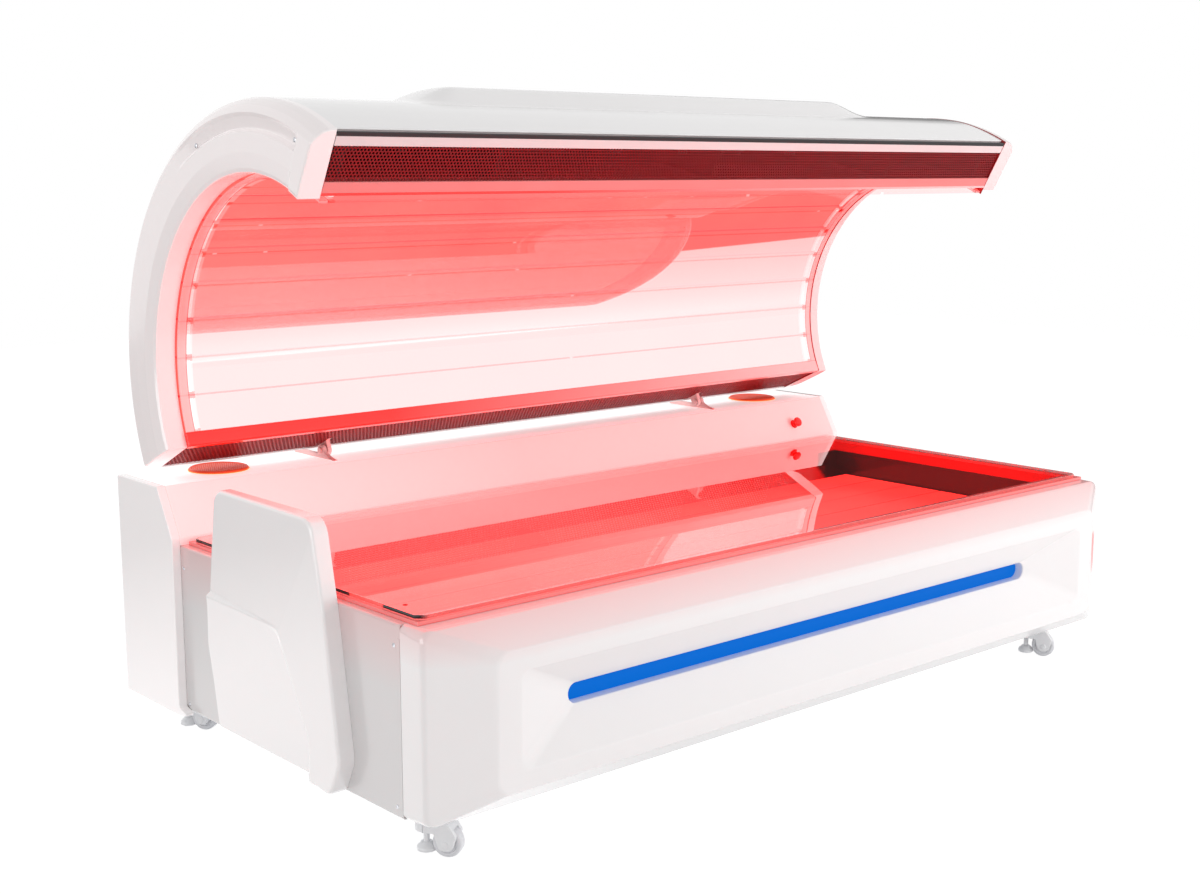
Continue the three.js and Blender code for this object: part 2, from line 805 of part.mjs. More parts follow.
function columnPanel(side) {
  const box = [
    [consoleRearY, -columnPanelDrop],
    [consoleRearY, consoleTopZ, panelBendRadius],
    [consoleEdgeY, consoleTopZ, panelBendRadius],
    [consoleFrontY, consoleSlopeFootZ, columnCornerRadius],
  ];
  const foot = [
    [consoleFrontY, columnFootHeight, columnEdgeRadius],
    [consoleFrontY - columnFootReach, 0],
    [consoleFrontY - columnFootReach, -columnFootHeight / 2],
    [consoleFrontY, -columnPanelDrop],
  ];
  const outline = roundCorners([...box, ...foot]);
  const hollow = inset(roundCorners([...box, foot.at(-1)]), panelSheet);
  const outer = baseHalfLength + columnPanelDepth;
  const tray = cut(
    extrude('x', outline, baseHalfLength + seatGap, outer),
    extrude('x', hollow, baseHalfLength + seatGap - cutOverrun, outer - panelSheet),
  );
  return side > 0 ? tray : tray.scale(-1, 1, 1);
}

place('rear_console_shell', consoleShell(), whiteGloss);
place('left_column_panel', closedBody(columnPanel(-1)), whiteGloss);
place('right_column_panel', closedBody(columnPanel(1)), whiteGloss);

// Back cover with two fields of louvres, a ringed fan guard and the inlet's cut-out.
function rearCover() {
  const holes = [];
  [-1, 1].forEach((side) => {
    for (let row = 0; row < louvreCount; row += 1) {
      const z = louvreZ + (row - (louvreCount - 1) / 2) * louvrePitch;
      holes.push(rectangle(side * louvreX - louvreWidth / 2, side * louvreX + louvreWidth / 2,
        z - louvreHeight / 2, z + louvreHeight / 2));
    }
  });
  guardRings.forEach((ring) => {
    const outer = fanBoreRadius - ring * (guardRingWidth + guardSlotWidth) - guardRingWidth;
    const inner = outer - guardSlotWidth;
    for (let quarter = 0; quarter < 4; quarter += 1) {
      holes.push(guardSlot(inner, outer, quarter * 90));
    }
  });
  holes.push(rectangle(-inletX - inletWidth / 2, -inletX + inletWidth / 2,
    inletZ - inletHeight / 2, inletZ + inletHeight / 2));
  const sheet = rectangle(-baseHalfLength, baseHalfLength, -columnPanelDrop,
    consoleTopZ - consoleRearLip - seatGap);
  return extrude('y', sheet, consoleRearY - panelSheet, consoleRearY, holes);
}

// One slot of the guard: a quarter ring between two spokes.
function guardSlot(inner, outer, startAngle) {
  const quarterRing = (radius) => {
    const spoke = degrees(Math.asin(guardSpokeWidth / 2 / radius));
    const [from, to] = [startAngle + spoke, startAngle + 90 - spoke];
    return steps(bladeSegments).map((share) => polar(radius, mix(from, to, share)));
  };
  return [...quarterRing(outer), ...quarterRing(inner).reverse()].map((p) => p.add(flat(0, fanZ)));
}

place('rear_cover', rearCover(), whiteSheet);

// Exhaust fan: a square frame with four struts, and a seven-bladed rotor on its shaft.
const fanRearY = consoleRearY - panelSheet - seatGap;
const fanFrontY = fanRearY - fanDepth;
const fanMotorRadius = fanHubRadius - turningGap;

function onFanAxis(geometry) {
  return geometry.rotateX(Math.PI / 2).translate(0, fanRearY, fanZ);
}

function fanFrame() {
  const half = fanSize / 2;
  const square = roundCorners([
    [-half, -half, fanCornerRadius],
    [half, -half, fanCornerRadius],
    [half, half, fanCornerRadius],
    [-half, half, fanCornerRadius],
  ]);
  const casing = extrude('z', square, 0, fanDepth, [circle(0, 0, fanBoreRadius)]);
  const struts = [0, Math.PI / 2].map((turn) =>
    block(-fanBoreRadius - fanStrutWidth / 2, fanBoreRadius + fanStrutWidth / 2,
      -fanStrutWidth / 2, fanStrutWidth / 2, 0, fanStrutDepth).rotateZ(turn));
  const motor = cylinder(fanMotorRadius, 0, fanStrutDepth);
  const shaft = cylinder(fanShaftRadius, 0, fanDepth * fanShaftShare, smallRoundSegments);
  return onFanAxis(join(casing, ...struts, motor, shaft));
}

function fanRotor() {
  const near = fanStrutDepth + turningGap;
  const far = fanDepth - turningGap;
  const tip = fanBoreRadius - turningGap * 2;
  const hub = cylinder(fanHubRadius, near, far);
  const root = fanHubRadius * fanBladeRootShare;
  const blades = Array.from({ length: fanBladeCount }, (_, i) => {
    const pitch = (2 * Math.PI) / fanBladeCount;
    const sweep = pitch * fanBladeSweepShare;
    const rings = steps(bladeSegments).map((share) => {
      const angle = sweep * (share - 0.5);
      const z = mix(near, far - fanBladeThickness, share);
      const out = flat(Math.cos(angle), Math.sin(angle));
      const section = [[root, 0], [tip, 0], [tip, fanBladeThickness], [root, fanBladeThickness]];
      return section.map(([radius, rise]) => new THREE.Vector3(out.x * radius, out.y * radius, z + rise));
    });
    return loft(rings).rotateZ(pitch * i);
  });
  const shaftEnd = fanDepth * fanShaftShare + turningGap;
  const bore = cylinder(fanShaftRadius + seatGap, near - cutOverrun, shaftEnd, smallRoundSegments);
  return onFanAxis(cut(join(hub, ...blades), bore));
}

place('exhaust_fan_frame', fanFrame(), blackPlastic);
place('exhaust_fan_rotor', fanRotor(), blackPlastic);

function mainsInlet() {
  const [wide, high] = [inletWidth / 2 - seatGap, inletHeight / 2 - seatGap];
  const [flangeWide, flangeHigh] = [inletWidth / 2 + inletFlange, inletHeight / 2 + inletFlange];
  const body = extrude('y', rectangle(-wide, wide, -high, high), -inletDepth, 0);
  const flange = extrude('y', rectangle(-flangeWide, flangeWide, -flangeHigh, flangeHigh),
    seatGap, inletFlangeThickness);
  const neck = extrude('y', rectangle(-wide, wide, -high, high), -inletWall, inletFlangeThickness);
  const recess = extrude('y', inset(rectangle(-wide, wide, -high, high), inletWall),
    inletWall - inletDepth, inletFlangeThickness + cutOverrun);
  const pins = [-1, 0, 1].map((slot) => {
    const x = slot * inletPinPitch;
    return extrude('y', rectangle(x - inletPinThickness / 2, x + inletPinThickness / 2,
      -inletPinWidth / 2, inletPinWidth / 2), -inletDepth + inletWall / 2, inletPinLength - inletDepth);
  });
  return join(cut(join(body, flange, neck), recess), ...pins).translate(-inletX, consoleRearY, inletZ);
}

place('mains_inlet', mainsInlet(), blackPlastic);

// Well: a sheet tray whose front and back walls end in chamfers, with a rim that carries the bed sheet.
// The end walls step outwards below a bright band along their top.
function wellHollow(grow) {
  const bandZ = wellRimTopZ - wellEndBandHeight + grow;
  const deepLength = wellHalfLength + wellEndRecess + grow;
  const [front, rear] = [wellFrontY - grow, wellRearY + grow];
  const tray = [
    flat(front, bandZ),
    flat(front, wellFloorZ + wellChamferRise),
    flat(front + wellChamferRun, wellFloorZ - grow),
    flat(rear - wellChamferRun, wellFloorZ - grow),
    flat(rear, wellFloorZ + wellChamferRise),
    flat(rear, bandZ),
  ];
  const mouthLength = wellHalfLength + grow;
  const mouth = block(-mouthLength, mouthLength, front, rear, bandZ - grow - seatGap, wellRimTopZ);
  return join(extrude('x', tray, -deepLength, deepLength), mouth);
}

function lightWell() {
  const reach = bedSheetHalfLength + wellRimEndMargin;
  const rim = block(-reach, reach, bedSheetFrontY - wellRimFrontMargin, bedSheetRearY + wellRimRearMargin,
    baseHeight + seatGap, wellRimTopZ);
  const mouthTop = wellRimTopZ + cutOverrun;
  const mouth = block(-wellHalfLength, wellHalfLength, wellFrontY, wellRearY, baseHeight, mouthTop);
  return cut(join(wellHollow(wellSheet), rim), wellHollow(0), mouth);
}

place('bed_light_well', lightWell(), redEnamel);

function bedSheet() {
  const c = bedCornerChamfer;
  const [x, front, rear] = [bedSheetHalfLength, bedSheetFrontY, bedSheetRearY];
  const outline = [
    flat(-x + c, front), flat(x - c, front), flat(x, front + c), flat(x, rear - c),
    flat(x - c, rear), flat(-x + c, rear), flat(-x, rear - c), flat(-x, front + c),
  ];
  return extrude('z', outline, bedSheetBottomZ, bedSheetBottomZ + bedSheetThickness);
}

place('bed_acrylic', bedSheet(), clearSheet);

// Light boards lie on the well's floor; a groove parts the two rows of each board.
const bedModuleDepth = bedModuleRowDepth * 2;
const bedModulesStartY = (wellFrontY + wellRearY - bedModuleDepth * bedModuleNames.length) / 2;
bedModuleNames.forEach((name, index) => {
  const near = bedModulesStartY + index * bedModuleDepth + seatGap / 2;
  const far = near + bedModuleDepth - seatGap;
  const middle = (near + far) / 2;
  const bottom = wellFloorZ + seatGap;
  const top = bottom + bedModuleThickness;
  const profile = [
    flat(near, bottom), flat(far, bottom), flat(far, top),
    flat(middle + rowGroove, top), flat(middle, top - rowGroove), flat(middle - rowGroove, top),
    flat(near, top),
  ];
  const reach = wellHalfLength + wellEndRecess - bedModuleEndInset;
  place(`bed_light_module_${name}`, extrude('x', profile, -reach, reach), redLightBoard);
});

// Chassis: three long tubes, cross tubes over the casters, posts under the well and the hinges.
function chassis() {
  const half = tubeSize / 2;
  const longTube = (y) => block(-railHalfLength, railHalfLength, y - half, y + half, railBottomZ, railTopZ);
  const [nearEnd, farEnd] = [frontRailY - half, rearRailY + half];
  const crossTube = (x) => block(x - half, x + half, nearEnd, farEnd, railBottomZ, railTopZ);
  const post = (x, y, top) => block(x - half, x + half, y - half, y + half, railTopZ - half, top);
  const pad = (x, y) => {
    const reach = casterPadSize / 2;
    return block(x - reach, x + reach, y - reach, y + reach, 0, railBottomZ + half);
  };
  const wellPostTop = wellFloorZ - wellSheet - seatGap;
  const hingePostTop = consoleTopZ - panelSheet - seatGap;
  const wellPostX = casterX - postInset;
  return join(
    ...[frontRailY, middleRailY, rearRailY].map(longTube),
    ...[-casterX, casterX].map(crossTube),
    ...[-wellPostX, 0, wellPostX].flatMap((x) =>
      [frontRailY, middleRailY].map((y) => post(x, y, wellPostTop))),
    ...[-hingePlateX, hingePlateX].map((x) => post(x, rearRailY, hingePostTop)),
    ...[-casterX, casterX].flatMap((x) => [frontRailY, rearRailY].map((y) => pad(x, y))),
  );
}

place('base_frame', chassis(), galvanised);

// Floor pan under the tubes, cut out round the caster pads and slotted under the electrics.
function floorPan() {
  const reach = baseHalfLength - panelSheet - panClearance;
  const rear = consoleRearY - panelSheet - panClearance;
  const sheet = rectangle(-reach, reach, coverWrapDepth + panClearance, rear);
  const padReach = casterPadSize / 2 + panClearance;
  const padHoles = [-casterX, casterX].flatMap((x) =>
    [frontRailY, rearRailY].map((y) => rectangle(x - padReach, x + padReach, y - padReach, y + padReach)));
  const vents = [-supplyX, supplyX].flatMap((x) =>
    Array.from({ length: panVentCount }, (_, row) => {
      const y = supplyY + supplyDepth + row * panVentPitch;
      const [long, wide] = [panVentLength / 2, panVentWidth / 2];
      return rectangle(x - long, x + long, y - wide, y + wide);
    }));
  return extrude('z', sheet, panBottomZ, panTopZ, [...padHoles, ...vents]);
}

place('base_floor_pan', floorPan(), galvanised);

// Power supplies: a tray with a folded, slotted cover.
function powerSupply(x) {
  const [long, deep] = [supplyLength / 2, supplyDepth / 2];
  const bottom = panTopZ + seatGap;
  const top = bottom + supplyHeight;
  const body = block(-long, long, -deep, deep, bottom, top);
  const earReach = long + supplyEarLength;
  const flanges = block(-earReach, earReach, -deep / 2, deep / 2, bottom, bottom + supplyCoverSheet);
  const slots = steps(cornerSegments).map((share) => {
    const slotX = mix(-long, long, share) * supplySlotsShare;
    return block(slotX - supplyCoverSheet, slotX + supplyCoverSheet, -deep / 2, deep / 2,
      top - supplyCoverSheet, top + cutOverrun);
  });
  return cut(join(body, flanges), ...slots).translate(x, supplyY, 0);
}

place('power_supply_left', powerSupply(-supplyX), aluminium);
place('power_supply_right', powerSupply(supplyX), aluminium);

function controlBox() {
  const outline = (grow) => roundCorners([
    [-boxLength / 2 - grow, supplyY - boxDepth / 2 - grow, boxCornerRadius],
    [boxLength / 2 + grow, supplyY - boxDepth / 2 - grow, boxCornerRadius],
    [boxLength / 2 + grow, supplyY + boxDepth / 2 + grow, boxCornerRadius],
    [-boxLength / 2 - grow, supplyY + boxDepth / 2 + grow, boxCornerRadius],
  ]);
  const bottom = panTopZ + seatGap;
  const lidZ = bottom + boxHeight - boxLidHeight;
  return join(
    extrude('z', outline(0), bottom, bottom + boxHeight - boxLidMargin),
    extrude('z', outline(boxLidMargin), lidZ, bottom + boxHeight),
  );
}

place('control_box', controlBox(), whiteSheet);

// Loudspeakers: a rimmed, perforated grille on the console and a driver hung below its top.
function speakerGrille() {
  const rimInner = grilleRadius - grilleRimWidth;
  const bottom = consoleTopZ + seatGap;
  const sheetTop = bottom + grilleHeight - grilleSheet / 2;
  const disc = revolve([
    [0, sheetTop - grilleSheet],
    [rimInner, sheetTop - grilleSheet],
    [rimInner, bottom],
    [grilleRadius, bottom],
    [grilleRadius, bottom + grilleHeight / 2],
    [grilleRadius - grilleSheet, bottom + grilleHeight],
    [rimInner, bottom + grilleHeight],
    [rimInner - grilleSheet, sheetTop],
    [0, sheetTop],
  ]);
  const [holeFoot, holeTop] = [sheetTop - grilleSheet - cutOverrun, sheetTop + cutOverrun];
  const hole = (x, y) => cylinder(grilleHoleRadius, holeFoot, holeTop, holeSegments).translate(x, y, 0);
  const ring = (radius, startAngle) => Array.from({ length: grilleHolesInRing }, (_, i) => {
    const spot = polar(radius, startAngle + (i * 360) / grilleHolesInRing);
    return hole(spot.x, spot.y);
  });
  const halfStep = 180 / grilleHolesInRing;
  return cut(disc, hole(0, 0), ...ring(grilleHolePitch, 0), ...ring(grilleHolePitch * 2, halfStep));
}

function speakerDriver() {
  const top = consoleTopZ - panelSheet - seatGap;
  const flangeFoot = top - driverFlange;
  const magnetTop = top - driverDepth + magnetDepth;
  return revolve([
    [0, top - driverDepth],
    [magnetRadius, top - driverDepth],
    [magnetRadius, magnetTop],
    [driverBasketRadius, magnetTop],
    [driverMouthRadius, flangeFoot],
    [driverRadius, flangeFoot],
    [driverRadius, top],
    [driverMouthRadius, top],
    [dustCapRadius, magnetTop + dustCapHeights[0]],
    [dustCapCrownRadius, magnetTop + dustCapHeights[1]],
    [0, magnetTop + dustCapHeights[2]],
  ]);
}

[['left', -speakerX], ['right', speakerX]].forEach(([side, x]) => {
  place(`${side}_speaker_grille`, speakerGrille().translate(x, speakerY, 0), orangeMesh);
  place(`${side}_speaker_driver`, closedBody(speakerDriver().translate(x, speakerY, 0)), blackPlastic);
});

// Stop button: a collar through the slope, and a mushroom head whose stem slides in it.
function stopSocket() {
  const foot = seatGap;
  return revolve([
    [stopStemRadius + seatGap, -stopThreadLength],
    [stopThreadRadius, -stopThreadLength],
    [stopThreadRadius, foot],
    [stopBezelRadius, foot],
    [stopBezelRadius, foot + stopBezelHeight],
    [stopSocketRadius, foot + stopBezelHeight],
    [stopSocketRadius, stopSocketHeight],
    [stopStemRadius + seatGap, stopSocketHeight],
    [stopStemRadius + seatGap, -stopThreadLength],
  ], smallRoundSegments).applyMatrix4(onSlope);
}

function stopButton() {
  const underside = stopSocketHeight + stopTravel + seatGap;
  const top = underside + stopHeadHeight;
  const dome = steps(cornerSegments).map((share) => {
    const angle = (share * Math.PI) / 2;
    return [stopHeadRadius * Math.cos(angle), mix(underside + stopHeadRim, top, Math.sin(angle))];
  });
  return revolve([
    [0, underside - stopStemLength],
    [stopStemRadius, underside - stopStemLength],
    [stopStemRadius, underside],
    [stopHeadRadius - stopHeadRim / 2, underside],
    ...dome.slice(0, -1),
    [0, top],
  ], smallRoundSegments).applyMatrix4(onSlope);
}

place('stop_button_socket', closedBody(stopSocket()), blackPlastic);
place('stop_button', closedBody(stopButton()), redButton);

// Hinge plates: a foot that sweeps up from the console's front edge into a boss round the pin.
function hingePlate() {
  const bottom = consoleTopZ + seatGap;
  const rear = consoleRearY - hingePlateRearInset;
  const tip = rear - hingePlateFootReach;
  const shoulder = bottom + hingePlateHeight;
  const bossStart = hingeY - hingeBossRadius;
  const [sweepAcross, sweepRise] = hingeSweepShares;
  const sweep = new THREE.QuadraticBezierCurve(
    flat(bossStart, hingeZ),
    flat(mix(tip, bossStart, sweepAcross), mix(bottom, hingeZ, sweepRise)),
    flat(tip, bottom + hingePlateFootTip),
  );
  const bossEnd = Math.asin((hingeZ - shoulder) / hingeBossRadius);
  const boss = steps(cornerSegments * 2).map((share) => {
    const angle = mix(-bossEnd, Math.PI, share);
    return flat(hingeY + hingeBossRadius * Math.cos(angle), hingeZ + hingeBossRadius * Math.sin(angle));
  });
  const outline = [
    flat(tip, bottom),
    flat(rear, bottom),
    flat(rear, shoulder),
    ...boss,
    ...sweep.getPoints(cornerSegments).slice(1),
  ];
  return extrude('x', outline, -hingePlateThickness / 2, hingePlateThickness / 2,
    [circle(hingeY, hingeZ, hingePinRadius + seatGap, smallRoundSegments)]);
}

function hingePin() {
  const plateFace = hingePlateThickness / 2 + seatGap;
  const lugFace = -(hingePlateThickness / 2 + hingeLugGap + ribThickness + seatGap);
  return revolve([
    [0, lugFace - hingePinHeadHeight],
    [hingePinHeadRadius, lugFace - hingePinHeadHeight],
    [hingePinHeadRadius, lugFace],
    [hingePinRadius, lugFace],
    [hingePinRadius, plateFace],
    [hingePinHeadRadius, plateFace],
    [hingePinHeadRadius, plateFace + hingePinHeadHeight],
    [0, plateFace + hingePinHeadHeight],
  ], smallRoundSegments).rotateY(Math.PI / 2);
}

[['left', -1], ['right', 1]].forEach(([side, sign]) => {
  place(`${side}_hinge_plate`, hingePlate().translate(sign * hingePlateX, 0, 0), whiteSheet);
  const pin = hingePin();
  if (sign < 0) pin.rotateZ(Math.PI);
  place(`${side}_hinge_pin`, closedBody(pin.translate(sign * hingePlateX, hingeY, hingeZ)), brightSteel);
});

// Canopy shell: an arc-shaped sheet whose outer skin swells into the hump.
const ease = (value) => THREE.MathUtils.smoothstep(value, 0, 1);
const rampShare = (value, from, to) => ease((value - from) / (to - from));

function humpRise(x, angle) {
  const lengthwise = 1 - rampShare(Math.abs(x), humpFlatHalfLength, humpHalfLength);
  const front = 1 - rampShare(angle, humpTopFrontAngle, humpFrontAngle);
  const rear = rampShare(angle, humpRearAngle, humpTopRearAngle);
  return humpHeight * lengthwise * front * rear;
}

// The shell draws in a little towards its front edge.
const shellTaper = (angle) =>
  (arcOuterRadius - shellFrontRadius) * rampShare(angle, humpFrontAngle, frontFaceAngle);

function canopyShell() {
  const half = capJointX - seatGap;
  const slope = steps(rampSegments).map((share) => mix(humpFlatHalfLength, humpHalfLength, share));
  const oneSide = [...slope, half];
  const stations = [...oneSide.map((x) => -x).reverse(), ...oneSide];
  const lastAngle = nearFront(arcOuterRadius, shellFrontSetback);
  const angles = steps(arcSegments).map((share) => mix(rearFaceAngle, lastAngle, share));
  const rings = stations.map((x) => {
    const skin = (inwards) => angles.map((angle) => {
      const p = polar(arcOuterRadius - shellTaper(angle) + humpRise(x, angle) - inwards, angle);
      return new THREE.Vector3(x, p.x, p.y);
    });
    return [...skin(0), ...skin(shellWall).reverse()];
  });
  return loft(rings);
}

place('canopy_shell', canopyShell(), whiteGloss, canopy);

// What fits inside the shell allows for the flats between the points of its inner skin.
const skinStep = (frontFaceAngle - rearFaceAngle) / arcSegments;
const skinSag = arcOuterRadius * (1 - Math.cos(radians(skinStep / 2)));
const insideShellRadius = arcOuterRadius - shellWall - skinSag - seatGap;

// End caps: a ridged section swept round the arc, hollow towards the middle of the canopy.
function capSection(angle) {
  const groove = rampShare(angle, capGrooveFadeStartAngle, capGrooveFullAngle)
    * (1 - rampShare(angle, capGrooveEndAngle, capBlockAngle));
  const grooveX = capLength - capGrooveDepth * groove;
  const ridgeTop = capRidgeRadius + capGrooveDepth;
  return [
    ...capFaceShares.map(([across, rise]) => [capLength * across, mix(capInnerRadius, capRidgeRadius, rise)]),
    [capLength, capRidgeRadius],
    [grooveX, ridgeTop],
    [grooveX, ridgeTop + capEdgeRadius],
    [capLength, ridgeTop + capEdgeRadius + capGrooveDepth],
    ...capEdgeShares.map(([across, drop]) =>
      [capLength - capEdgeRadius * across, arcOuterRadius - capEdgeRadius * drop]),
    [0, arcOuterRadius],
  ];
}

function endCap(side) {
  const even = steps(capSegments).map((share) => mix(rearFaceAngle, frontFaceAngle, share));
  const kept = even.filter((angle) => Math.abs(angle - capBlockAngle) > capRingSpacing);
  const angles = [...kept, capGrooveEndAngle, capBlockAngle].sort((a, b) => a - b);
  const ring = (section, angle) => section.map(([x, radius]) => {
    const p = polar(radius, angle);
    return new THREE.Vector3(capJointX + x, p.x, p.y);
  });
  const outer = loft(angles.map((angle) => ring(capSection(angle), angle)));
  const wallAngle = degrees(capWall / capInnerRadius);
  const hollow = [
    [-cutOverrun, capInnerRadius + capWall],
    [capLength - capGrooveDepth - capWall, capInnerRadius + capWall],
    [capLength - capGrooveDepth - capWall, arcOuterRadius - capEdgeRadius - capWall],
    [capLength - capEdgeRadius * 2 - capWall, arcOuterRadius - capWall],
    [-cutOverrun, arcOuterRadius - capWall],
  ];
  const inside = steps(capSegments).map((share) =>
    mix(rearFaceAngle + wallAngle, frontFaceAngle - wallAngle, share));
  const cap = cut(outer, loft(inside.map((angle) => ring(hollow, angle))));
  return closedBody(side > 0 ? cap : cap.scale(-1, 1, 1));
}

place('canopy_left_end_cap', endCap(-1), whiteGloss, canopy);
place('canopy_right_end_cap', endCap(1), whiteGloss, canopy);

// Liner and light boards, both within the rails at the two long edges
const railEndX = capJointX - seatGap;
const boardRearDepth = rearRailDepth + seatGap;
const boardFrontDepth = railWall + seatGap;

function canopyLiner() {
  const [inner, outer] = [linerRadius, linerRadius + linerThickness].map((radius) =>
    arcPoints(radius, boardRearDepth, boardFrontDepth, arcSegments));
  return extrude('x', [...outer, ...inner.reverse()], linerEndGap - capJointX, capJointX - linerEndGap);
}

place('canopy_acrylic', canopyLiner(), clearSheet, canopy);

// Each board has two flat rows, parted by a groove.
const boardReach = capJointX - moduleEndInset;
const boardStart = nearRear(moduleInnerRadius, boardRearDepth);
const boardEnd = nearFront(moduleOuterRadius, boardFrontDepth);
const rowAngles = steps(moduleCount * 2).map((share) => mix(boardStart, boardEnd, share));
for (let index = 0; index < moduleCount; index += 1) {
  const [rear, middle, front] = rowAngles.slice(index * 2);
  const gap = degrees(seatGap / moduleInnerRadius) / 2;
  const groove = degrees(rowGroove / moduleInnerRadius);
  const profile = [
    polar(moduleOuterRadius, rear + gap),
    polar(moduleOuterRadius, middle),
    polar(moduleOuterRadius, front - gap),
    polar(moduleInnerRadius, front - gap),
    polar(moduleInnerRadius, middle + groove),
    polar(moduleInnerRadius + rowGroove, middle),
    polar(moduleInnerRadius, middle - groove),
    polar(moduleInnerRadius, rear + gap),
  ];
  const board = extrude('x', profile, -boardReach, boardReach);
  place(`canopy_light_module_${index + 1}`, board, redLightBoard, canopy);
}

// Rails: folded channels along the canopy's open edges.
function frontRail(inner, outer) {
  return extrude('x', againstFront([
    [inner, 0], [outer, 0], [outer, railDepth], [outer - railWall, railDepth],
    [outer - railWall, railWall], [inner, railWall],
  ]), -railEndX, railEndX);
}

function rearRail() {
  return extrude('x', againstRear([
    [rearRailInnerRadius, railWall], [rearRailInnerRadius + railWall, 0], [rearRailOuterRadius, 0],
    [rearRailOuterRadius, rearRailDepth], [rearRailInnerRadius, rearRailDepth],
  ]), -railEndX, railEndX);
}

const upperRailOuterRadius = shellFrontRadius - shellWall - upperRailGap;
const upperRail = frontRail(upperRailInnerRadius, upperRailOuterRadius);
const lowerRail = frontRail(lowerRailInnerRadius, lowerRailOuterRadius - seatGap);
place('canopy_front_upper_rail', upperRail, whiteGloss, canopy);
place('canopy_front_lower_rail', lowerRail, redMesh, canopy);
place('canopy_rear_rail', rearRail(), redEnamel, canopy);

// Grilles: flat perforated strips in staggered rows, set back between the rails.
function perforatedStrip(inner, outer, rowPitch, pitch, radius, keepOut = []) {
  const holes = [];
  const middle = (inner + outer) / 2;
  [-1, 0, 1].forEach((row) => {
    const across = middle + row * rowPitch;
    const stagger = row === 0 ? pitch / 2 : 0;
    const count = Math.floor((railEndX - pitch / 2 - stagger) / pitch);
    for (let i = -count - (stagger > 0 ? 1 : 0); i <= count; i += 1) {
      const x = i * pitch + stagger;
      if (keepOut.every(([from, to]) => x + radius * 2 < from || x - radius * 2 > to)) {
        holes.push(circle(x, across, radius, holeSegments));
      }
    }
  });
  return { outline: rectangle(-railEndX, railEndX, inner, outer), holes };
}

// Lays a strip drawn in (x, radius) against one of the arc's end faces.
function layStrip({ outline, holes }, faceAngle, inward, setback) {
  const strip = extrude('z', outline, 0, canopyGrilleSheet, holes);
  const outwards = polar(1, faceAngle);
  const depthwards = polar(1, faceAngle + inward * 90);
  const basis = new THREE.Matrix4().makeBasis(
    right,
    new THREE.Vector3(0, outwards.x, outwards.y),
    new THREE.Vector3(0, depthwards.x, depthwards.y),
  );
  return closedBody(strip.translate(0, 0, setback).applyMatrix4(basis));
}

function frontGrille() {
  const strip = perforatedStrip(lowerRailOuterRadius, upperRailInnerRadius - seatGap,
    frontHoleRowPitch, frontHolePitch, frontHoleRadius);
  return layStrip(strip, frontFaceAngle, -1, grilleSetback);
}

function rearGrille() {
  const zoneReach = ribThickness + hingeSlotMargin;
  const lugZones = [-lugX, lugX].map((x) => [x - zoneReach, x + zoneReach]);
  const strip = perforatedStrip(rearRailOuterRadius + seatGap, insideShellRadius,
    rearHoleRowPitch, rearHolePitch, rearHoleRadius, lugZones);
  const hingeReach = Math.hypot(arcSetForward, arcSetUp);
  const slotReach = hingeLugRadius * 2;
  strip.holes.push(...[-lugX, lugX].map((x) => rectangle(
    x - ribThickness / 2 - turningGap * 2, x + ribThickness / 2 + turningGap * 2,
    hingeReach - slotReach, hingeReach + hingeLugRadius + turningGap * 2,
  )));
  return layStrip(strip, rearFaceAngle, 1, grilleSetback);
}

place('canopy_front_grille', frontGrille(), redMesh, canopy);
place('canopy_rear_grille', rearGrille(), redMesh, canopy);

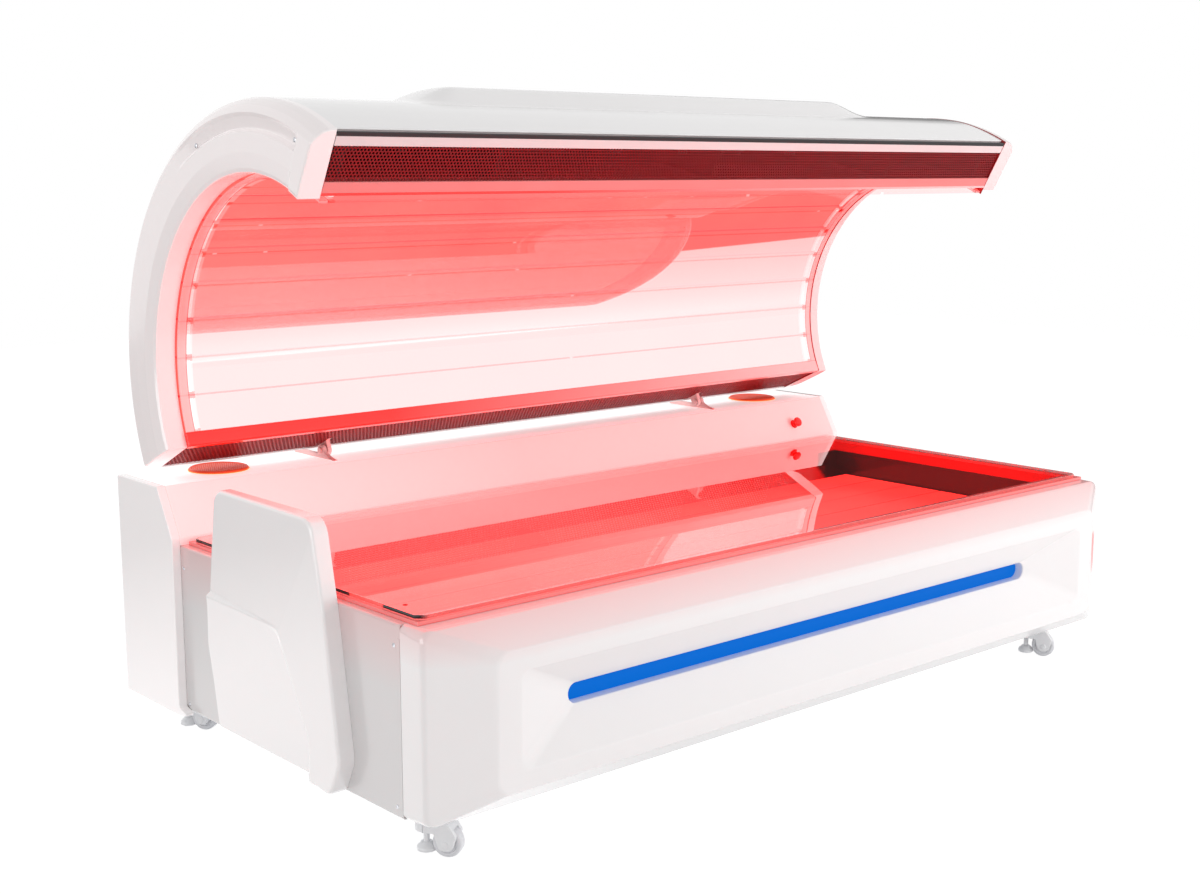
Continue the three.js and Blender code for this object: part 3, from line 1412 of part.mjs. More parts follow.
// Canopy frame: ribs joined by long bars, two of the ribs reaching down to the hinge pins.
function canopyFrame() {
  const inner = moduleOuterRadius + seatGap;
  const outer = insideShellRadius;
  const rearDepth = grilleSetback + canopyGrilleSheet + seatGap;
  const frontDepth = railDepth + seatGap;
  const [ribStart, ribEnd] = [nearRear(inner, rearDepth), nearFront(inner, frontDepth)];
  const seatAngles = [ribStart, ...rowAngles.filter((angle) => angle < ribEnd), ribEnd];
  const ribOutline = [
    ...steps(ribSegments).map((share) => {
      const angle = mix(nearRear(outer, rearDepth), nearFront(outer, frontDepth), share);
      return polar(outer - shellTaper(angle), angle);
    }),
    ...seatAngles.map((angle) => polar(inner, angle)).reverse(),
  ];
  const holeCount = Math.floor((ribEnd - ribStart) / ribHoleStepAngle);
  const holes = Array.from({ length: holeCount }, (_, i) => {
    const spot = polar((inner + outer) / 2, ribStart + (i + ribHoleStartShare) * ribHoleStepAngle);
    return circle(spot.x, spot.y, ribHoleRadius, holeSegments);
  });
  const barAngles = barHolesBehind.map((count) => ribStart + (count + barStartShare) * ribHoleStepAngle);
  const rib = (x) => extrude('x', ribOutline, x - ribThickness / 2, x + ribThickness / 2, holes);
  const half = barWidth / 2;
  const bar = (angle) => {
    const square = rectangle(-half, half, -half, half).map((p) =>
      p.rotateAround(flat(0, 0), radians(angle)).add(polar(barRadius, angle)));
    return extrude('x', square, endRibInset - capJointX, capJointX - endRibInset);
  };
  const hinge = flat(arcSetForward, -arcSetUp);
  const hingeAngle = degrees(Math.atan2(hinge.y, hinge.x));
  const lug = (x) => {
    const root = polar(hinge.length(), hingeAngle + lugRootAngle);
    const across = polar(hingeLugRadius, hingeAngle);
    const round = steps(cornerSegments * 2).map((share) =>
      polar(hingeLugRadius, hingeAngle - 180 * share).add(hinge));
    const outline = [root.clone().sub(across), root.clone().add(across), ...round];
    return extrude('x', outline, x - ribThickness / 2, x + ribThickness / 2);
  };
  const bore = (x) => cylinder(hingePinRadius + seatGap, -ribThickness, ribThickness, smallRoundSegments)
    .rotateY(Math.PI / 2).translate(x, hinge.x, hinge.y);
  return cut(join(
    ...[-capJointX + endRibInset, -lugX, 0, lugX, capJointX - endRibInset].map(rib),
    ...barAngles.map(bar),
    ...[-lugX, lugX].map(lug),
  ), ...[-lugX, lugX].map(bore));
}

place('canopy_frame', canopyFrame(), aluminium, canopy);

// Levelling casters, drawn with the swivel axis at the origin, its top at z = 0 and the wheel ahead on x.
const casterTopZ = -seatGap;
const casterHeight = casterTopZ + floorDrop;
const axleZ = wheelRadius - casterHeight;
const axleLength = forkWidth / 2;

function casterFork() {
  const hub = join(
    cylinder(forkBearingRadius, -forkBearingHeight, 0, smallRoundSegments),
    cylinder(forkHubRadius, -forkHubHeight, 0, smallRoundSegments),
  );
  const { front, brow, crown, top, back: backShare, heel } = forkHoodShares;
  const hoodBackZ = -forkBearingHeight - wheelAxleRadius;
  const side = roundCorners([
    [0, hoodBackZ],
    [0, -forkHubHeight],
    [wheelTrail * heel, -forkHubHeight],
    [wheelTrail - forkCheekRadius, axleZ - forkCheekRadius, forkCheekRadius],
    [wheelTrail + forkCheekRadius, axleZ - forkCheekRadius, forkCheekRadius],
    [wheelTrail + wheelRadius * front, axleZ + wheelRadius * brow, forkHoodRound / 2],
    [wheelTrail + wheelRadius * crown, axleZ + wheelRadius * top, forkHoodRound],
    [wheelTrail * backShare, hoodBackZ, forkHoodRound],
  ], forkSegments);
  const body = extrude('y', side, -forkWidth / 2, forkWidth / 2);
  const roomReach = wheelWidth / 2 + turningGap;
  const wheelRoom = cylinder(wheelRadius + forkWheelGap, -roomReach, roomReach)
    .rotateX(Math.PI / 2).translate(wheelTrail, 0, axleZ);
  const axle = cylinder(wheelAxleRadius, -axleLength, axleLength, smallRoundSegments)
    .rotateX(Math.PI / 2).translate(wheelTrail, 0, axleZ);
  const stemBore = cylinder(footStemRadius + seatGap, -casterHeight, -forkBearingHeight, smallRoundSegments);
  return join(cut(join(hub, body), wheelRoom, stemBore), axle);
}

function casterWheel() {
  const half = wheelWidth / 2;
  const bore = wheelAxleRadius + seatGap;
  const profile = [
    [bore, -half],
    [wheelHubRadius, -half],
    [wheelHubRadius, -half + wheelRimRecess],
    [wheelRimRadius, -half + wheelRimRecess],
    [wheelRimRadius, -half],
    [wheelRadius - wheelTreadRound / 2, -half],
    [wheelRadius, -half + wheelTreadRound],
  ];
  const mirrored = profile.map(([radius, z]) => [radius, -z]).reverse();
  return revolve([...profile, ...mirrored, profile[0]], wheelSegments)
    .rotateX(Math.PI / 2).translate(wheelTrail, 0, axleZ);
}

function levellingFoot() {
  const bottom = footLift - casterHeight;
  const padTop = bottom + footPadHeight;
  return revolve([
    [0, bottom],
    [footPadRadius - footPadEdge / 2, bottom],
    [footPadRadius, bottom + footPadEdge],
    [footPadRadius - footPadEdge / 2, bottom + footPadEdge * 2],
    [footPadNeckRadius, padTop],
    [footStemRadius, padTop],
    [footStemRadius, padTop + footStemLength],
    [0, padTop + footStemLength],
  ], smallRoundSegments);
}

const casterTurn = Math.atan2(wheelTrailY, wheelTrailX);
[['front_left', -casterX, frontRailY], ['front_right', casterX, frontRailY],
  ['rear_left', -casterX, rearRailY], ['rear_right', casterX, rearRailY]].forEach(([corner, x, y]) => {
  const caster = new THREE.Group();
  caster.position.set(x, y, casterTopZ);
  caster.rotation.z = casterTurn;
  place(`${corner}_caster_fork`, casterFork(), greyNylon, caster);
  place(`${corner}_caster_wheel`, closedBody(casterWheel()), greyRubber, caster);
  place(`${corner}_levelling_foot`, closedBody(levellingFoot()), greyNylon, caster);
  bed.add(caster);
});

// The measuring frame is moved onto the floor, under the middle of the whole.
const leftmost = -baseHalfLength - wingThickness;
const rightmost = baseHalfLength + columnPanelDepth;
const rearmost = consoleRearY + inletFlangeThickness;
bed.position.set(-(leftmost + rightmost) / 2, -(rearmost - coverProjection) / 2, floorDrop);

export default bed;
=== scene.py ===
"""Looks of a red light therapy bed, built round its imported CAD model.

Sizes are in millimetres, measured as the bed is: from the middle of its base (x), its front corners (y) and
the lower edge of its base (z). Angles of the canopy are in degrees about the axis of its arc, from the back.
"""

import json
import math

import bmesh
import bpy
import numpy as np
from bpy.props import FloatProperty, FloatVectorProperty, PointerProperty
from mathutils import Matrix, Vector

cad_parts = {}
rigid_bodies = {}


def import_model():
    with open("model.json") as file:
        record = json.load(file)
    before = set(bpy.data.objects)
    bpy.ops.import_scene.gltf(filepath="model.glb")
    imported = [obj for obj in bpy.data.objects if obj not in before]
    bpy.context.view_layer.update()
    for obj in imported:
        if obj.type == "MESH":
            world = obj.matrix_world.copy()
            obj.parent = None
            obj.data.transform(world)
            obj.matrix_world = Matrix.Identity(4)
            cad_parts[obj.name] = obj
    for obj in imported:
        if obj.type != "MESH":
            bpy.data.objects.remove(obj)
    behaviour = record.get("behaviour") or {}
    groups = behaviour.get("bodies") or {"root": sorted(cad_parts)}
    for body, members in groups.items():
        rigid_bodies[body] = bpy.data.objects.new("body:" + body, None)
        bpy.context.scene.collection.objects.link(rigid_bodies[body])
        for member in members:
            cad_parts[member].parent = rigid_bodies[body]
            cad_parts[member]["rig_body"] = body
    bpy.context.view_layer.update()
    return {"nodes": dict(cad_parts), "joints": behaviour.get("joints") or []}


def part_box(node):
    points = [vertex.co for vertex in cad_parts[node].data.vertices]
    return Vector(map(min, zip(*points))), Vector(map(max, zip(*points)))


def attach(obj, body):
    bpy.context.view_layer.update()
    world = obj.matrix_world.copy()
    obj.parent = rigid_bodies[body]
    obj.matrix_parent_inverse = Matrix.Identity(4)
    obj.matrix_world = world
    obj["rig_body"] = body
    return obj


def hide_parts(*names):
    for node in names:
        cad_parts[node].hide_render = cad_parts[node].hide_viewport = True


bl_info = {
    "name": "Red Light Therapy Bed",
    "version": (1, 0, 0),
    "blender": (4, 5, 0),
    "location": "View3D > Sidebar > Light Bed",
    "description": "Builds a lie-down red light therapy bed with an arched canopy",
    "category": "Add Mesh",
}

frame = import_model()

MM = 0.001
BASE_LOW, BASE_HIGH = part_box("front_panel")
COVER_PROJECTION = 67
ORIGIN = np.array([(BASE_LOW.x + BASE_HIGH.x) / 2, BASE_LOW.y + COVER_PROJECTION * MM, BASE_LOW.z])
TILT = next(joint for joint in frame["joints"] if joint["name"] == "canopy_tilt")
HINGE = (np.array(TILT["pos_m"]) - ORIGIN) / MM
ARC = HINGE[1:] + np.array([-473.0, 241.0])

BASE_HALF, BASE_HEIGHT = 1080, 371
FRONT_ANGLE, REAR_ANGLE = 118.4, -25.3
CAP_X, CAP_LENGTH, CAP_INNER, CAP_RIDGE = 1036, 52, 417, 494
SHELL_RADIUS, SHELL_WALL = 561, 4
CANOPY_HALF, CANOPY_ROWS = 1035.6, 12
LAMP_RADIUS, LAMP_DEPTH = 425, 12
REAR_SETBACK, FRONT_SETBACK = 32.3, 3.3
SLOT_LOW, SLOT_HIGH = 166.3, 206.7


def linear(code):
    """Linear red, green, blue and alpha of an sRGB hex colour."""
    srgb = np.array([int(code[i:i + 2], 16) for i in (1, 3, 5)]) / 255
    return (*np.where(srgb <= 0.04045, srgb / 12.92, ((srgb + 0.055) / 1.055) ** 2.4).tolist(), 1.0)


def colour(code, name, description):
    """Colour property whose default is a hex colour."""
    return FloatVectorProperty(name=name, description=description, default=linear(code)[:3],
                               subtype="COLOR", size=3, min=0, max=1)


def length(value, name, description):
    """Length property whose default is in millimetres and kept in metres."""
    return FloatProperty(name=name, description=description, default=value * MM, min=0, unit="LENGTH", precision=4)


class BedSizes(bpy.types.PropertyGroup):
    """Sizes that a user would change."""

    cover_edge: length(9, "Cover edge", "Radius of the front cover's long edges")
    rim_edge: length(5, "Rim edge", "Radius of the edges of the cover's raised rim")
    wing_edge: length(7, "Wing edge", "Radius of the wing's outer edge")
    grille_pitch: length(8, "Front grille pitch", "Distance between holes of the front grille")
    rear_grille_pitch: length(10, "Rear grille pitch", "Distance between holes of the rear grille")
    speaker_pitch: length(5, "Speaker grille pitch", "Distance between holes of the speaker grilles")
    hump_height: length(32.9, "Hump height", "Rise of the hump along the canopy's top")
    tick_pitch: length(41, "Tick pitch", "Distance between the places of pale ticks along a light row")


class BedColours(bpy.types.PropertyGroup):
    """Colours and light levels that a user would change."""

    gloss_white: colour("#f5f3f3", "Gloss white", "Moulded covers, wing and canopy")
    sheet_white: colour("#dcdada", "Sheet white", "Powder-coated side sheets, back cover and control box")
    lamp_red: colour("#ff2a2a", "Lamp red", "Light of the red lamps")
    well_red: colour("#e8120e", "Well red", "Enamel of the light well")
    mesh_red: colour("#8c0e16", "Mesh red", "Perforated grilles")
    strip_blue: colour("#006eda", "Strip blue", "Light strip in the front cover")
    button_red: colour("#e01818", "Button red", "Stop button")
    lamp_strength: FloatProperty(name="Lamp strength", description="Brightness of the light boards",
                                 default=2.8, min=0, max=20)
    strip_strength: FloatProperty(name="Strip strength", description="Brightness of the blue strip",
                                  default=0.85, min=0, max=20)


def sizes():
    """Chosen sizes, in millimetres."""
    group = bpy.context.scene.light_bed_sizes
    return {key: getattr(group, key) / MM for key in BedSizes.__annotations__}


def colours():
    """Chosen colours as linear red, green, blue and alpha."""
    group = bpy.context.scene.light_bed_colours
    named = {key: getattr(group, key) for key in BedColours.__annotations__}
    return {key: value if isinstance(value, float) else (*value, 1.0) for key, value in named.items()}


# Outlines


def steps(count):
    """Shares from 0 to 1 in equal steps."""
    return np.linspace(0, 1, count + 1)


def smooth(value, low, high):
    """Smooth step: three times the square less twice the cube of the share between two limits."""
    share = np.clip((value - low) / (high - low), 0, 1)
    return share * share * (3 - 2 * share)


def rounded(corners, segments=6):
    """Outline with an arc at each [across, up, radius] corner, about a centre on the corner's bisector."""
    points = np.array([corner[:2] for corner in corners], float)
    radii = np.array([corner[2] if len(corner) > 2 else 0 for corner in corners], float)
    drawn = []
    for here, before, after, radius in zip(points, np.roll(points, 1, 0), np.roll(points, -1, 0), radii):
        if radius == 0:
            drawn.append(here[None])
            continue
        back, ahead = before - here, after - here
        room = 0.49 * min(np.linalg.norm(back), np.linalg.norm(ahead))
        back, ahead = back / np.linalg.norm(back), ahead / np.linalg.norm(ahead)
        half = math.acos(np.clip(back @ ahead, -1, 1)) / 2
        reach = min(max(radius / math.tan(half), 0.4), room)
        if half > 1.56:
            drawn.append(here + reach * (back + (ahead - back) * steps(segments)[:, None]))
            continue
        middle = (back + ahead) / np.linalg.norm(back + ahead)
        centre = here + middle * reach / math.cos(half)
        start, end = here + back * reach - centre, here + ahead * reach - centre
        turn = math.atan2(start[0] * end[1] - start[1] * end[0], start @ end) * steps(segments)[:, None]
        drawn.append(centre + start * np.cos(turn) + np.array([-start[1], start[0]]) * np.sin(turn))
    return np.concatenate(drawn)


def inset(outline, distance):
    """Outline moved inwards, each point along the mitre of its two edges."""
    back = outline - np.roll(outline, 1, 0)
    ahead = np.roll(outline, -1, 0) - outline
    area = (outline[:, 0] * np.roll(outline[:, 1], -1) - outline[:, 1] * np.roll(outline[:, 0], -1)).sum()
    total = back / np.linalg.norm(back, axis=1)[:, None] + ahead / np.linalg.norm(ahead, axis=1)[:, None]
    mitre = np.stack([-total[:, 1], total[:, 0]], 1)
    return outline + 2 * np.sign(area) * np.asarray(distance)[..., None] * mitre / (mitre ** 2).sum(1)[:, None]


def resampled(outline, count):
    """Outline drawn by a number of points at equal distances along it."""
    closed = np.concatenate([outline, outline[:1]])
    along = np.concatenate([[0], np.linalg.norm(np.diff(closed, axis=0), axis=1).cumsum()])
    spots = along[-1] * np.arange(count) / count
    return np.stack([np.interp(spots, along, closed[:, axis]) for axis in (0, 1)], 1)


def depth_inside(points, outline):
    """Distance of each point to an outline: positive inside it, by counting crossings, and negative outside."""
    start, end = outline[None], np.roll(outline, -1, 0)[None]
    points = points.reshape(-1, 1, 2)
    edge, reach = end - start, points - start
    share = np.clip((reach * edge).sum(-1) / (edge ** 2).sum(-1), 0, 1)
    near = np.linalg.norm(reach - share[..., None] * edge, axis=-1).min(1)
    spans = (start[..., 1] > points[..., 1]) != (end[..., 1] > points[..., 1])
    rise = np.where(spans, edge[..., 1], 1)
    crossed = spans & (points[..., 0] < start[..., 0] + reach[..., 1] * edge[..., 0] / rise)
    return np.where(crossed.sum(1) % 2 == 1, near, -near)


def standing(axis, outline, offset):
    """Outline of (y, z), (x, z) or (x, y) points laid at an offset along x, y or z."""
    return np.insert(outline, "xyz".index(axis), offset, axis=1)


def polar(radius, angle):
    """y and z of a point of the canopy by radius and angle about the arc's axis."""
    turn = np.radians(angle)
    return np.stack(np.broadcast_arrays(ARC[0] + radius * np.cos(turn), ARC[1] + radius * np.sin(turn)), -1)


# Surfaces


def loft(rings, closed=False):
    """Skin of quads from each ring of points to the next, capped at both ends unless the rings close in a loop."""
    rings = np.asarray(rings, float)
    count, size = rings.shape[:2]
    index = np.arange(count * size).reshape(count, size)
    here, ahead = (index, np.roll(index, -1, 0)) if closed else (index[:-1], index[1:])
    quads = np.stack([here, np.roll(here, -1, 1), np.roll(ahead, -1, 1), ahead], -1).reshape(-1, 4).tolist()
    caps = [] if closed else [index[0, ::-1].tolist(), index[-1].tolist()]
    return rings.reshape(-1, 3), quads + caps


def prism(axis, outline, low, high, edge=0, segments=4):
    """Outline carried along an axis, with a quarter round of the edge radius at both ends."""
    turn = steps(segments) * math.pi / 2 if edge else np.array([math.pi / 2])
    ends = [(edge * (1 - math.cos(t)), edge * (1 - math.sin(t))) for t in turn]
    rings = [standing(axis, inset(outline, inwards), low + along) for along, inwards in ends]
    rings += [standing(axis, inset(outline, inwards), high - along) for along, inwards in reversed(ends)]
    return loft(rings)


def turned(profile, place=(0, 0, 0), direction=(0, 0, 1), count=48):
    """Closed profile of [radius, height] points turned about a direction through a place."""
    profile = np.array(profile, float)
    turn = (2 * math.pi * np.arange(count) / count)[:, None]
    rings = np.stack([profile[:, 0] * np.cos(turn), profile[:, 0] * np.sin(turn),
                      np.broadcast_to(profile[:, 1], (count, len(profile)))], -1)
    up = np.array(direction, float) / np.linalg.norm(direction)
    side = np.cross([1.0, 0, 0] if abs(up[0]) < 0.9 else [0, 1.0, 0], up)
    side /= np.linalg.norm(side)
    basis = np.stack([side, np.cross(up, side), up])
    return loft(rings @ basis + np.array(place, float), closed=True)


def honeycomb(across, up, pitch, hole):
    """Sheet between two limits each way, made of six-sided cells with a hole in each and cut straight at its edges.

    Rows are half the square root of three pitches apart, and every second row is shifted by half a pitch.
    """
    row_step = 0.866
    rows = np.arange(math.floor(up[0] / (pitch * row_step)), math.ceil(up[1] / (pitch * row_step)) + 1)
    columns = np.arange(math.floor(across[0] / pitch) - 1, math.ceil(across[1] / pitch) + 2)
    column, row = np.meshgrid(columns, rows)
    centres = np.stack([(column + 0.5 * (row % 2)) * pitch, row * pitch * row_step], -1).reshape(-1, 2)
    inside = ((centres > [across[0], up[0]]) & (centres < [across[1], up[1]])).all(1)
    centres = centres[inside][:, None]
    corner = math.pi / 6 + np.arange(6) * math.pi / 3
    spoke = np.stack([np.cos(corner), np.sin(corner)], 1)
    points = np.concatenate([centres + spoke * pitch / math.sqrt(3), centres + spoke * hole], 1).reshape(-1, 2)
    points = np.clip(points, [across[0], up[0]], [across[1], up[1]])
    cell = 12 * np.arange(len(centres))[:, None, None]
    here = np.arange(6)
    ahead = (here + 1) % 6
    quads = cell + np.stack([here, ahead, 6 + ahead, 6 + here], -1)[None]
    unique, index = np.unique(np.round(points, 2), axis=0, return_inverse=True)
    return unique, index.ravel()[quads.reshape(-1, 4)].tolist()


def together(parts):
    """Several (points, faces) parts as one."""
    points, faces, start = [], [], 0
    for part_points, part_faces in parts:
        points.append(part_points)
        faces += [[corner + start for corner in face] for face in part_faces]
        start += len(part_points)
    return np.concatenate(points), faces


def facing_out(points, faces):
    """Faces turned so that a closed part's volume, added up over its quads and its few other faces, is positive."""
    quads = points[np.array([face for face in faces if len(face) == 4])]
    volume = np.einsum("ij,ij->i", quads[:, 0], np.cross(quads[:, 1], quads[:, 2])
                       + np.cross(quads[:, 2], quads[:, 3])).sum()
    others = [face for face in faces if len(face) != 4]
    volume += sum(points[f[0]] @ np.cross(points[f[i]], points[f[i + 1]]) for f in others for i in range(1, len(f) - 1))
    return faces if volume > 0 else [face[::-1] for face in faces]


def piece(name, body, parts, material, replaces=(), angle=30, wall=0):
    """Mesh object from parts in millimetres: doubles merged, faces outwards, smooth but for edges over an angle."""
    points, faces = together([(p, facing_out(p, f)) if not wall else (p, f) for p, f in parts])
    mesh = bpy.data.meshes.new(name)
    mesh.from_pydata(points * MM + ORIGIN, [], faces)
    return dressed(name, body, mesh, material, replaces, angle, wall)


def dressed(name, body, mesh, material, replaces=(), angle=30, wall=0, rounding=0):
    """Object for a mesh, with its shading, wall, edge rounding, material and the CAD body that it rides on."""
    shape = bmesh.new()
    shape.from_mesh(mesh)
    bmesh.ops.remove_doubles(shape, verts=shape.verts, dist=1e-6)
    bmesh.ops.dissolve_degenerate(shape, edges=shape.edges, dist=1e-7)
    shape.to_mesh(mesh)
    shape.free()
    mesh.shade_smooth()
    mesh.set_sharp_from_angle(angle=math.radians(angle))
    mesh.materials.clear()
    mesh.materials.append(material)
    made = bpy.data.objects.new(name, mesh)
    bpy.context.scene.collection.objects.link(made)
    if wall:
        skin = made.modifiers.new("Wall", "SOLIDIFY")
        skin.thickness, skin.offset = wall * MM, 0
    if rounding:
        edges = made.modifiers.new("Edges", "BEVEL")
        edges.width, edges.segments = rounding * MM, 3
        edges.limit_method = "ANGLE"
        edges.angle_limit = math.radians(angle)
        edges.use_clamp_overlap = False
        edges.miter_outer = "MITER_ARC"
    if not wall:
        made.modifiers.new("Normals", "WEIGHTED_NORMAL").keep_sharp = True
    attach(made, body)
    if replaces:
        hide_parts(*replaces)
    return made


def refined(cad_node, name, material, rounding, angle=30):
    """Copy of a CAD node with its doubles merged; with a radius its flat faces are joined up and its edges rounded."""
    source = frame["nodes"][cad_node]
    mesh = source.data.copy()
    shape = bmesh.new()
    shape.from_mesh(mesh)
    bmesh.ops.remove_doubles(shape, verts=shape.verts, dist=1e-6)
    if rounding:
        bmesh.ops.dissolve_limit(shape, angle_limit=math.radians(0.4), verts=shape.verts, edges=shape.edges)
    shape.to_mesh(mesh)
    shape.free()
    for layer in list(mesh.uv_layers):
        mesh.uv_layers.remove(layer)
    return dressed(name, source["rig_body"], mesh, material, (cad_node,), angle, rounding=rounding)


# Materials


def node(tree, kind, inputs=(), **settings):
    """Adds a shader node with its settings; inputs, by order or by name, are values, nodes or sockets."""
    made = tree.nodes.new("ShaderNode" + kind)
    for key, value in settings.items():
        setattr(made, key, value)
    for key, value in inputs.items() if isinstance(inputs, dict) else enumerate(inputs):
        if isinstance(value, bpy.types.Node):
            value = value.outputs[0]
        if isinstance(value, bpy.types.NodeSocket):
            tree.links.new(value, made.inputs[key])
        else:
            made.inputs[key].default_value = value
    return made


def finish(name, build):
    """Material made once by name; build gets its node tree and returns the surface shader."""
    material = bpy.data.materials.get(name)
    if material is None:
        material = bpy.data.materials.new(name)
        material.use_nodes = True
        tree = material.node_tree
        tree.nodes.clear()
        node(tree, "OutputMaterial", {"Surface": build(tree)})
    return material


def at(axis, value):
    """Coordinate in metres of a place in millimetres along x (0), y (1) or z (2)."""
    return ORIGIN[axis] + value * MM


def split_place(tree):
    """x, y and z of a point of the piece."""
    return node(tree, "SeparateXYZ", [node(tree, "TexCoord").outputs["Object"]]).outputs


def face_rise(tree):
    """How far a face looks up: the z of its normal."""
    return node(tree, "SeparateXYZ", [node(tree, "NewGeometry").outputs["True Normal"]]).outputs[2]


def bumpy(tree, grain, depth, detail=2):
    """Bump from noise whose grain and depth are real sizes in millimetres."""
    place = node(tree, "TexCoord").outputs["Object"]
    noise = node(tree, "TexNoise", {"Vector": place, "Scale": 1 / (grain * MM), "Detail": detail})
    return node(tree, "Bump", {"Height": noise, "Distance": depth * MM, "Strength": 1.0})


def tinted(tree, base, other, grain, amount):
    """Base colour that drifts towards another by noise of a grain in millimetres."""
    place = node(tree, "TexCoord").outputs["Object"]
    noise = node(tree, "TexNoise", {"Vector": place, "Scale": 1 / (grain * MM), "Detail": 3})
    share = node(tree, "Math", [noise, amount], operation="MULTIPLY")
    return node(tree, "Mix", {0: share, 6: base, 7: other}, data_type="RGBA").outputs[2]


def flushed(tree, base, low, high, amount):
    """Colour that turns pink with height, as the lamps' light does to a white surface near them."""
    share = node(tree, "MapRange", [split_place(tree)[2], at(2, low), at(2, high), 0.0, amount])
    return node(tree, "Mix", {0: share, 6: base, 7: linear("#f6a8a6")}, data_type="RGBA").outputs[2]


def moulded_abs(part="", painted_lamp_pink=0.0, painted_glow=0.0):
    """Moulded ABS, polished tool: a wet gloss with a faint long ripple in what it mirrors.

    A part near the lamps is painted pink towards the top for their light, and one in their light gets a faint painted
    glow.
    """
    def build(tree):
        base = tinted(tree, colours()["gloss_white"], linear("#eceaea"), 240, 0.35)
        # Painted light: pink with height and a faint white glow stand in for the lamps' light.
        return node(tree, "BsdfPrincipled", {
            "Base Color": flushed(tree, base, 300, 380, painted_lamp_pink), "Roughness": 0.16, "IOR": 1.53, "Coat Weight": 0.3,
            "Coat Roughness": 0.06, "Emission Color": linear("#fff4f4"), "Emission Strength": painted_glow,
            "Normal": bumpy(tree, 60, 0.12, 1)})
    return finish("ABS moulded gloss white" + part, build)


def powder_coat(part="", painted_lamp_pink=0.4):
    """Powder-coated sheet steel: fine orange peel, drawn at 2.5 mm where the real one is nearer 1 mm, so it shows."""
    def build(tree):
        base = tinted(tree, colours()["sheet_white"], linear("#dedcdc"), 180, 0.3)
        # Painted lamp light: the white turns pink towards the top.
        return node(tree, "BsdfPrincipled", {
            "Base Color": flushed(tree, base, 240, 372, painted_lamp_pink), "Roughness": 0.2, "IOR": 1.5, "Coat Weight": 0.25,
            "Coat Roughness": 0.08, "Normal": bumpy(tree, 2.5, 0.006, 2)})
    return finish("Steel sheet powder coat white" + part, build)


def satin_coat():
    """Satin powder coat on the console, with hardly a mirror; its light is painted: white on top, pink on the slopes
    the lamps light, and a glow strongest on top and towards the left.
    """
    def build(tree):
        # Painted light: pink on the slopes and white on top, with a white glow on top and towards the left.
        top = node(tree, "MapRange", [face_rise(tree), 0.8, 0.98])
        white = tinted(tree, linear("#fdfbfb"), linear("#f6f2f2"), 90, 0.5)
        base = node(tree, "Mix", {0: top, 6: linear("#f8dedd"), 7: white}, data_type="RGBA")
        left = node(tree, "MapRange", [split_place(tree)[0], at(0, -900), at(0, -100), 0.27, 0.07])
        return node(tree, "BsdfPrincipled", {
            "Base Color": base.outputs[2], "Roughness": 0.5, "Specular IOR Level": 0.3,
            "Emission Color": linear("#fff0f0"),
            "Emission Strength": node(tree, "Math", [top, 0.34, left], operation="MULTIPLY_ADD"),
            "Normal": bumpy(tree, 3, 0.008)})
    return finish("Steel sheet satin coat white", build)


def on_front(tree, share):
    """Share of mirror on the side that faces out; from inside the sheet there is none."""
    behind = node(tree, "NewGeometry").outputs["Backfacing"]
    return node(tree, "Mix", {0: behind, 2: share, 3: 0.0}).outputs[0]


def acrylic_sheet():
    """Cast acrylic sheet, polished: clear from above and a mirror at a low angle.

    Its cut edge is painted red-pink for the lamps' light, and painted black at the left but for a gap, as shade. A
    faint painted haze glows on its face towards the left.
    """
    def build(tree):
        ripple = bumpy(tree, 400, 0.15, 0)
        clear = node(tree, "BsdfTransparent", {"Color": linear("#fff0f0")})
        mirror = node(tree, "BsdfGlossy", {"Color": linear("#ffffff"), "Roughness": 0.012, "Normal": ripple})
        low_angle = node(tree, "Fresnel", {"IOR": 1.9, "Normal": ripple})
        share = on_front(tree, node(tree, "Math", [low_angle, 0.85, 0.12], operation="MULTIPLY_ADD"))
        across, along, _ = split_place(tree)
        # Painted haze: a faint glow on the face, strongest towards the left.
        front = node(tree, "MapRange", [across, at(0, -300), at(0, 500), 0.11, 0.0])
        painted_haze = node(tree, "Emission", {"Color": linear("#ffe8e8"), "Strength": on_front(tree, front)})
        sheet = node(tree, "AddShader", [node(tree, "MixShader", [share, clear, mirror]), painted_haze])
        # Painted light and shade on the cut edge: red-pink for the lamps' light, black at the left but for a gap.
        left = node(tree, "MapRange", [across, at(0, -1046), at(0, -1030), 1.0, 0.0])
        from_gap = node(tree, "Math", [along, at(1, 215)], operation="SUBTRACT")
        from_gap = node(tree, "Math", [from_gap], operation="ABSOLUTE")
        gap = node(tree, "MapRange", [from_gap, 50 * MM, 60 * MM])
        black = node(tree, "Math", [left, gap], operation="MULTIPLY")
        shade = node(tree, "Mix", {0: black, 6: linear("#e06a66"), 7: linear("#0c0203")}, data_type="RGBA")
        seen = node(tree, "Math", [black, 0.3, 0.7], operation="MULTIPLY_ADD")
        edge = node(tree, "BsdfPrincipled", {"Base Color": shade.outputs[2], "Roughness": 0.1, "Alpha": seen})
        level = node(tree, "Math", [face_rise(tree)], operation="ABSOLUTE")
        cut = node(tree, "Math", [level, 0.6], operation="LESS_THAN")
        return node(tree, "MixShader", [cut, sheet, edge])
    return finish("Acrylic cast polished clear", build)


def near_line(tree, row, row_size, solid, faded):
    """Mask of the joints between rows: one within a solid distance of a joint and none beyond a faded one."""
    away = node(tree, "Math", [row, 0.5], operation="PINGPONG")
    return node(tree, "MapRange", [away, solid / row_size, faded / row_size, 1.0, 0.0])


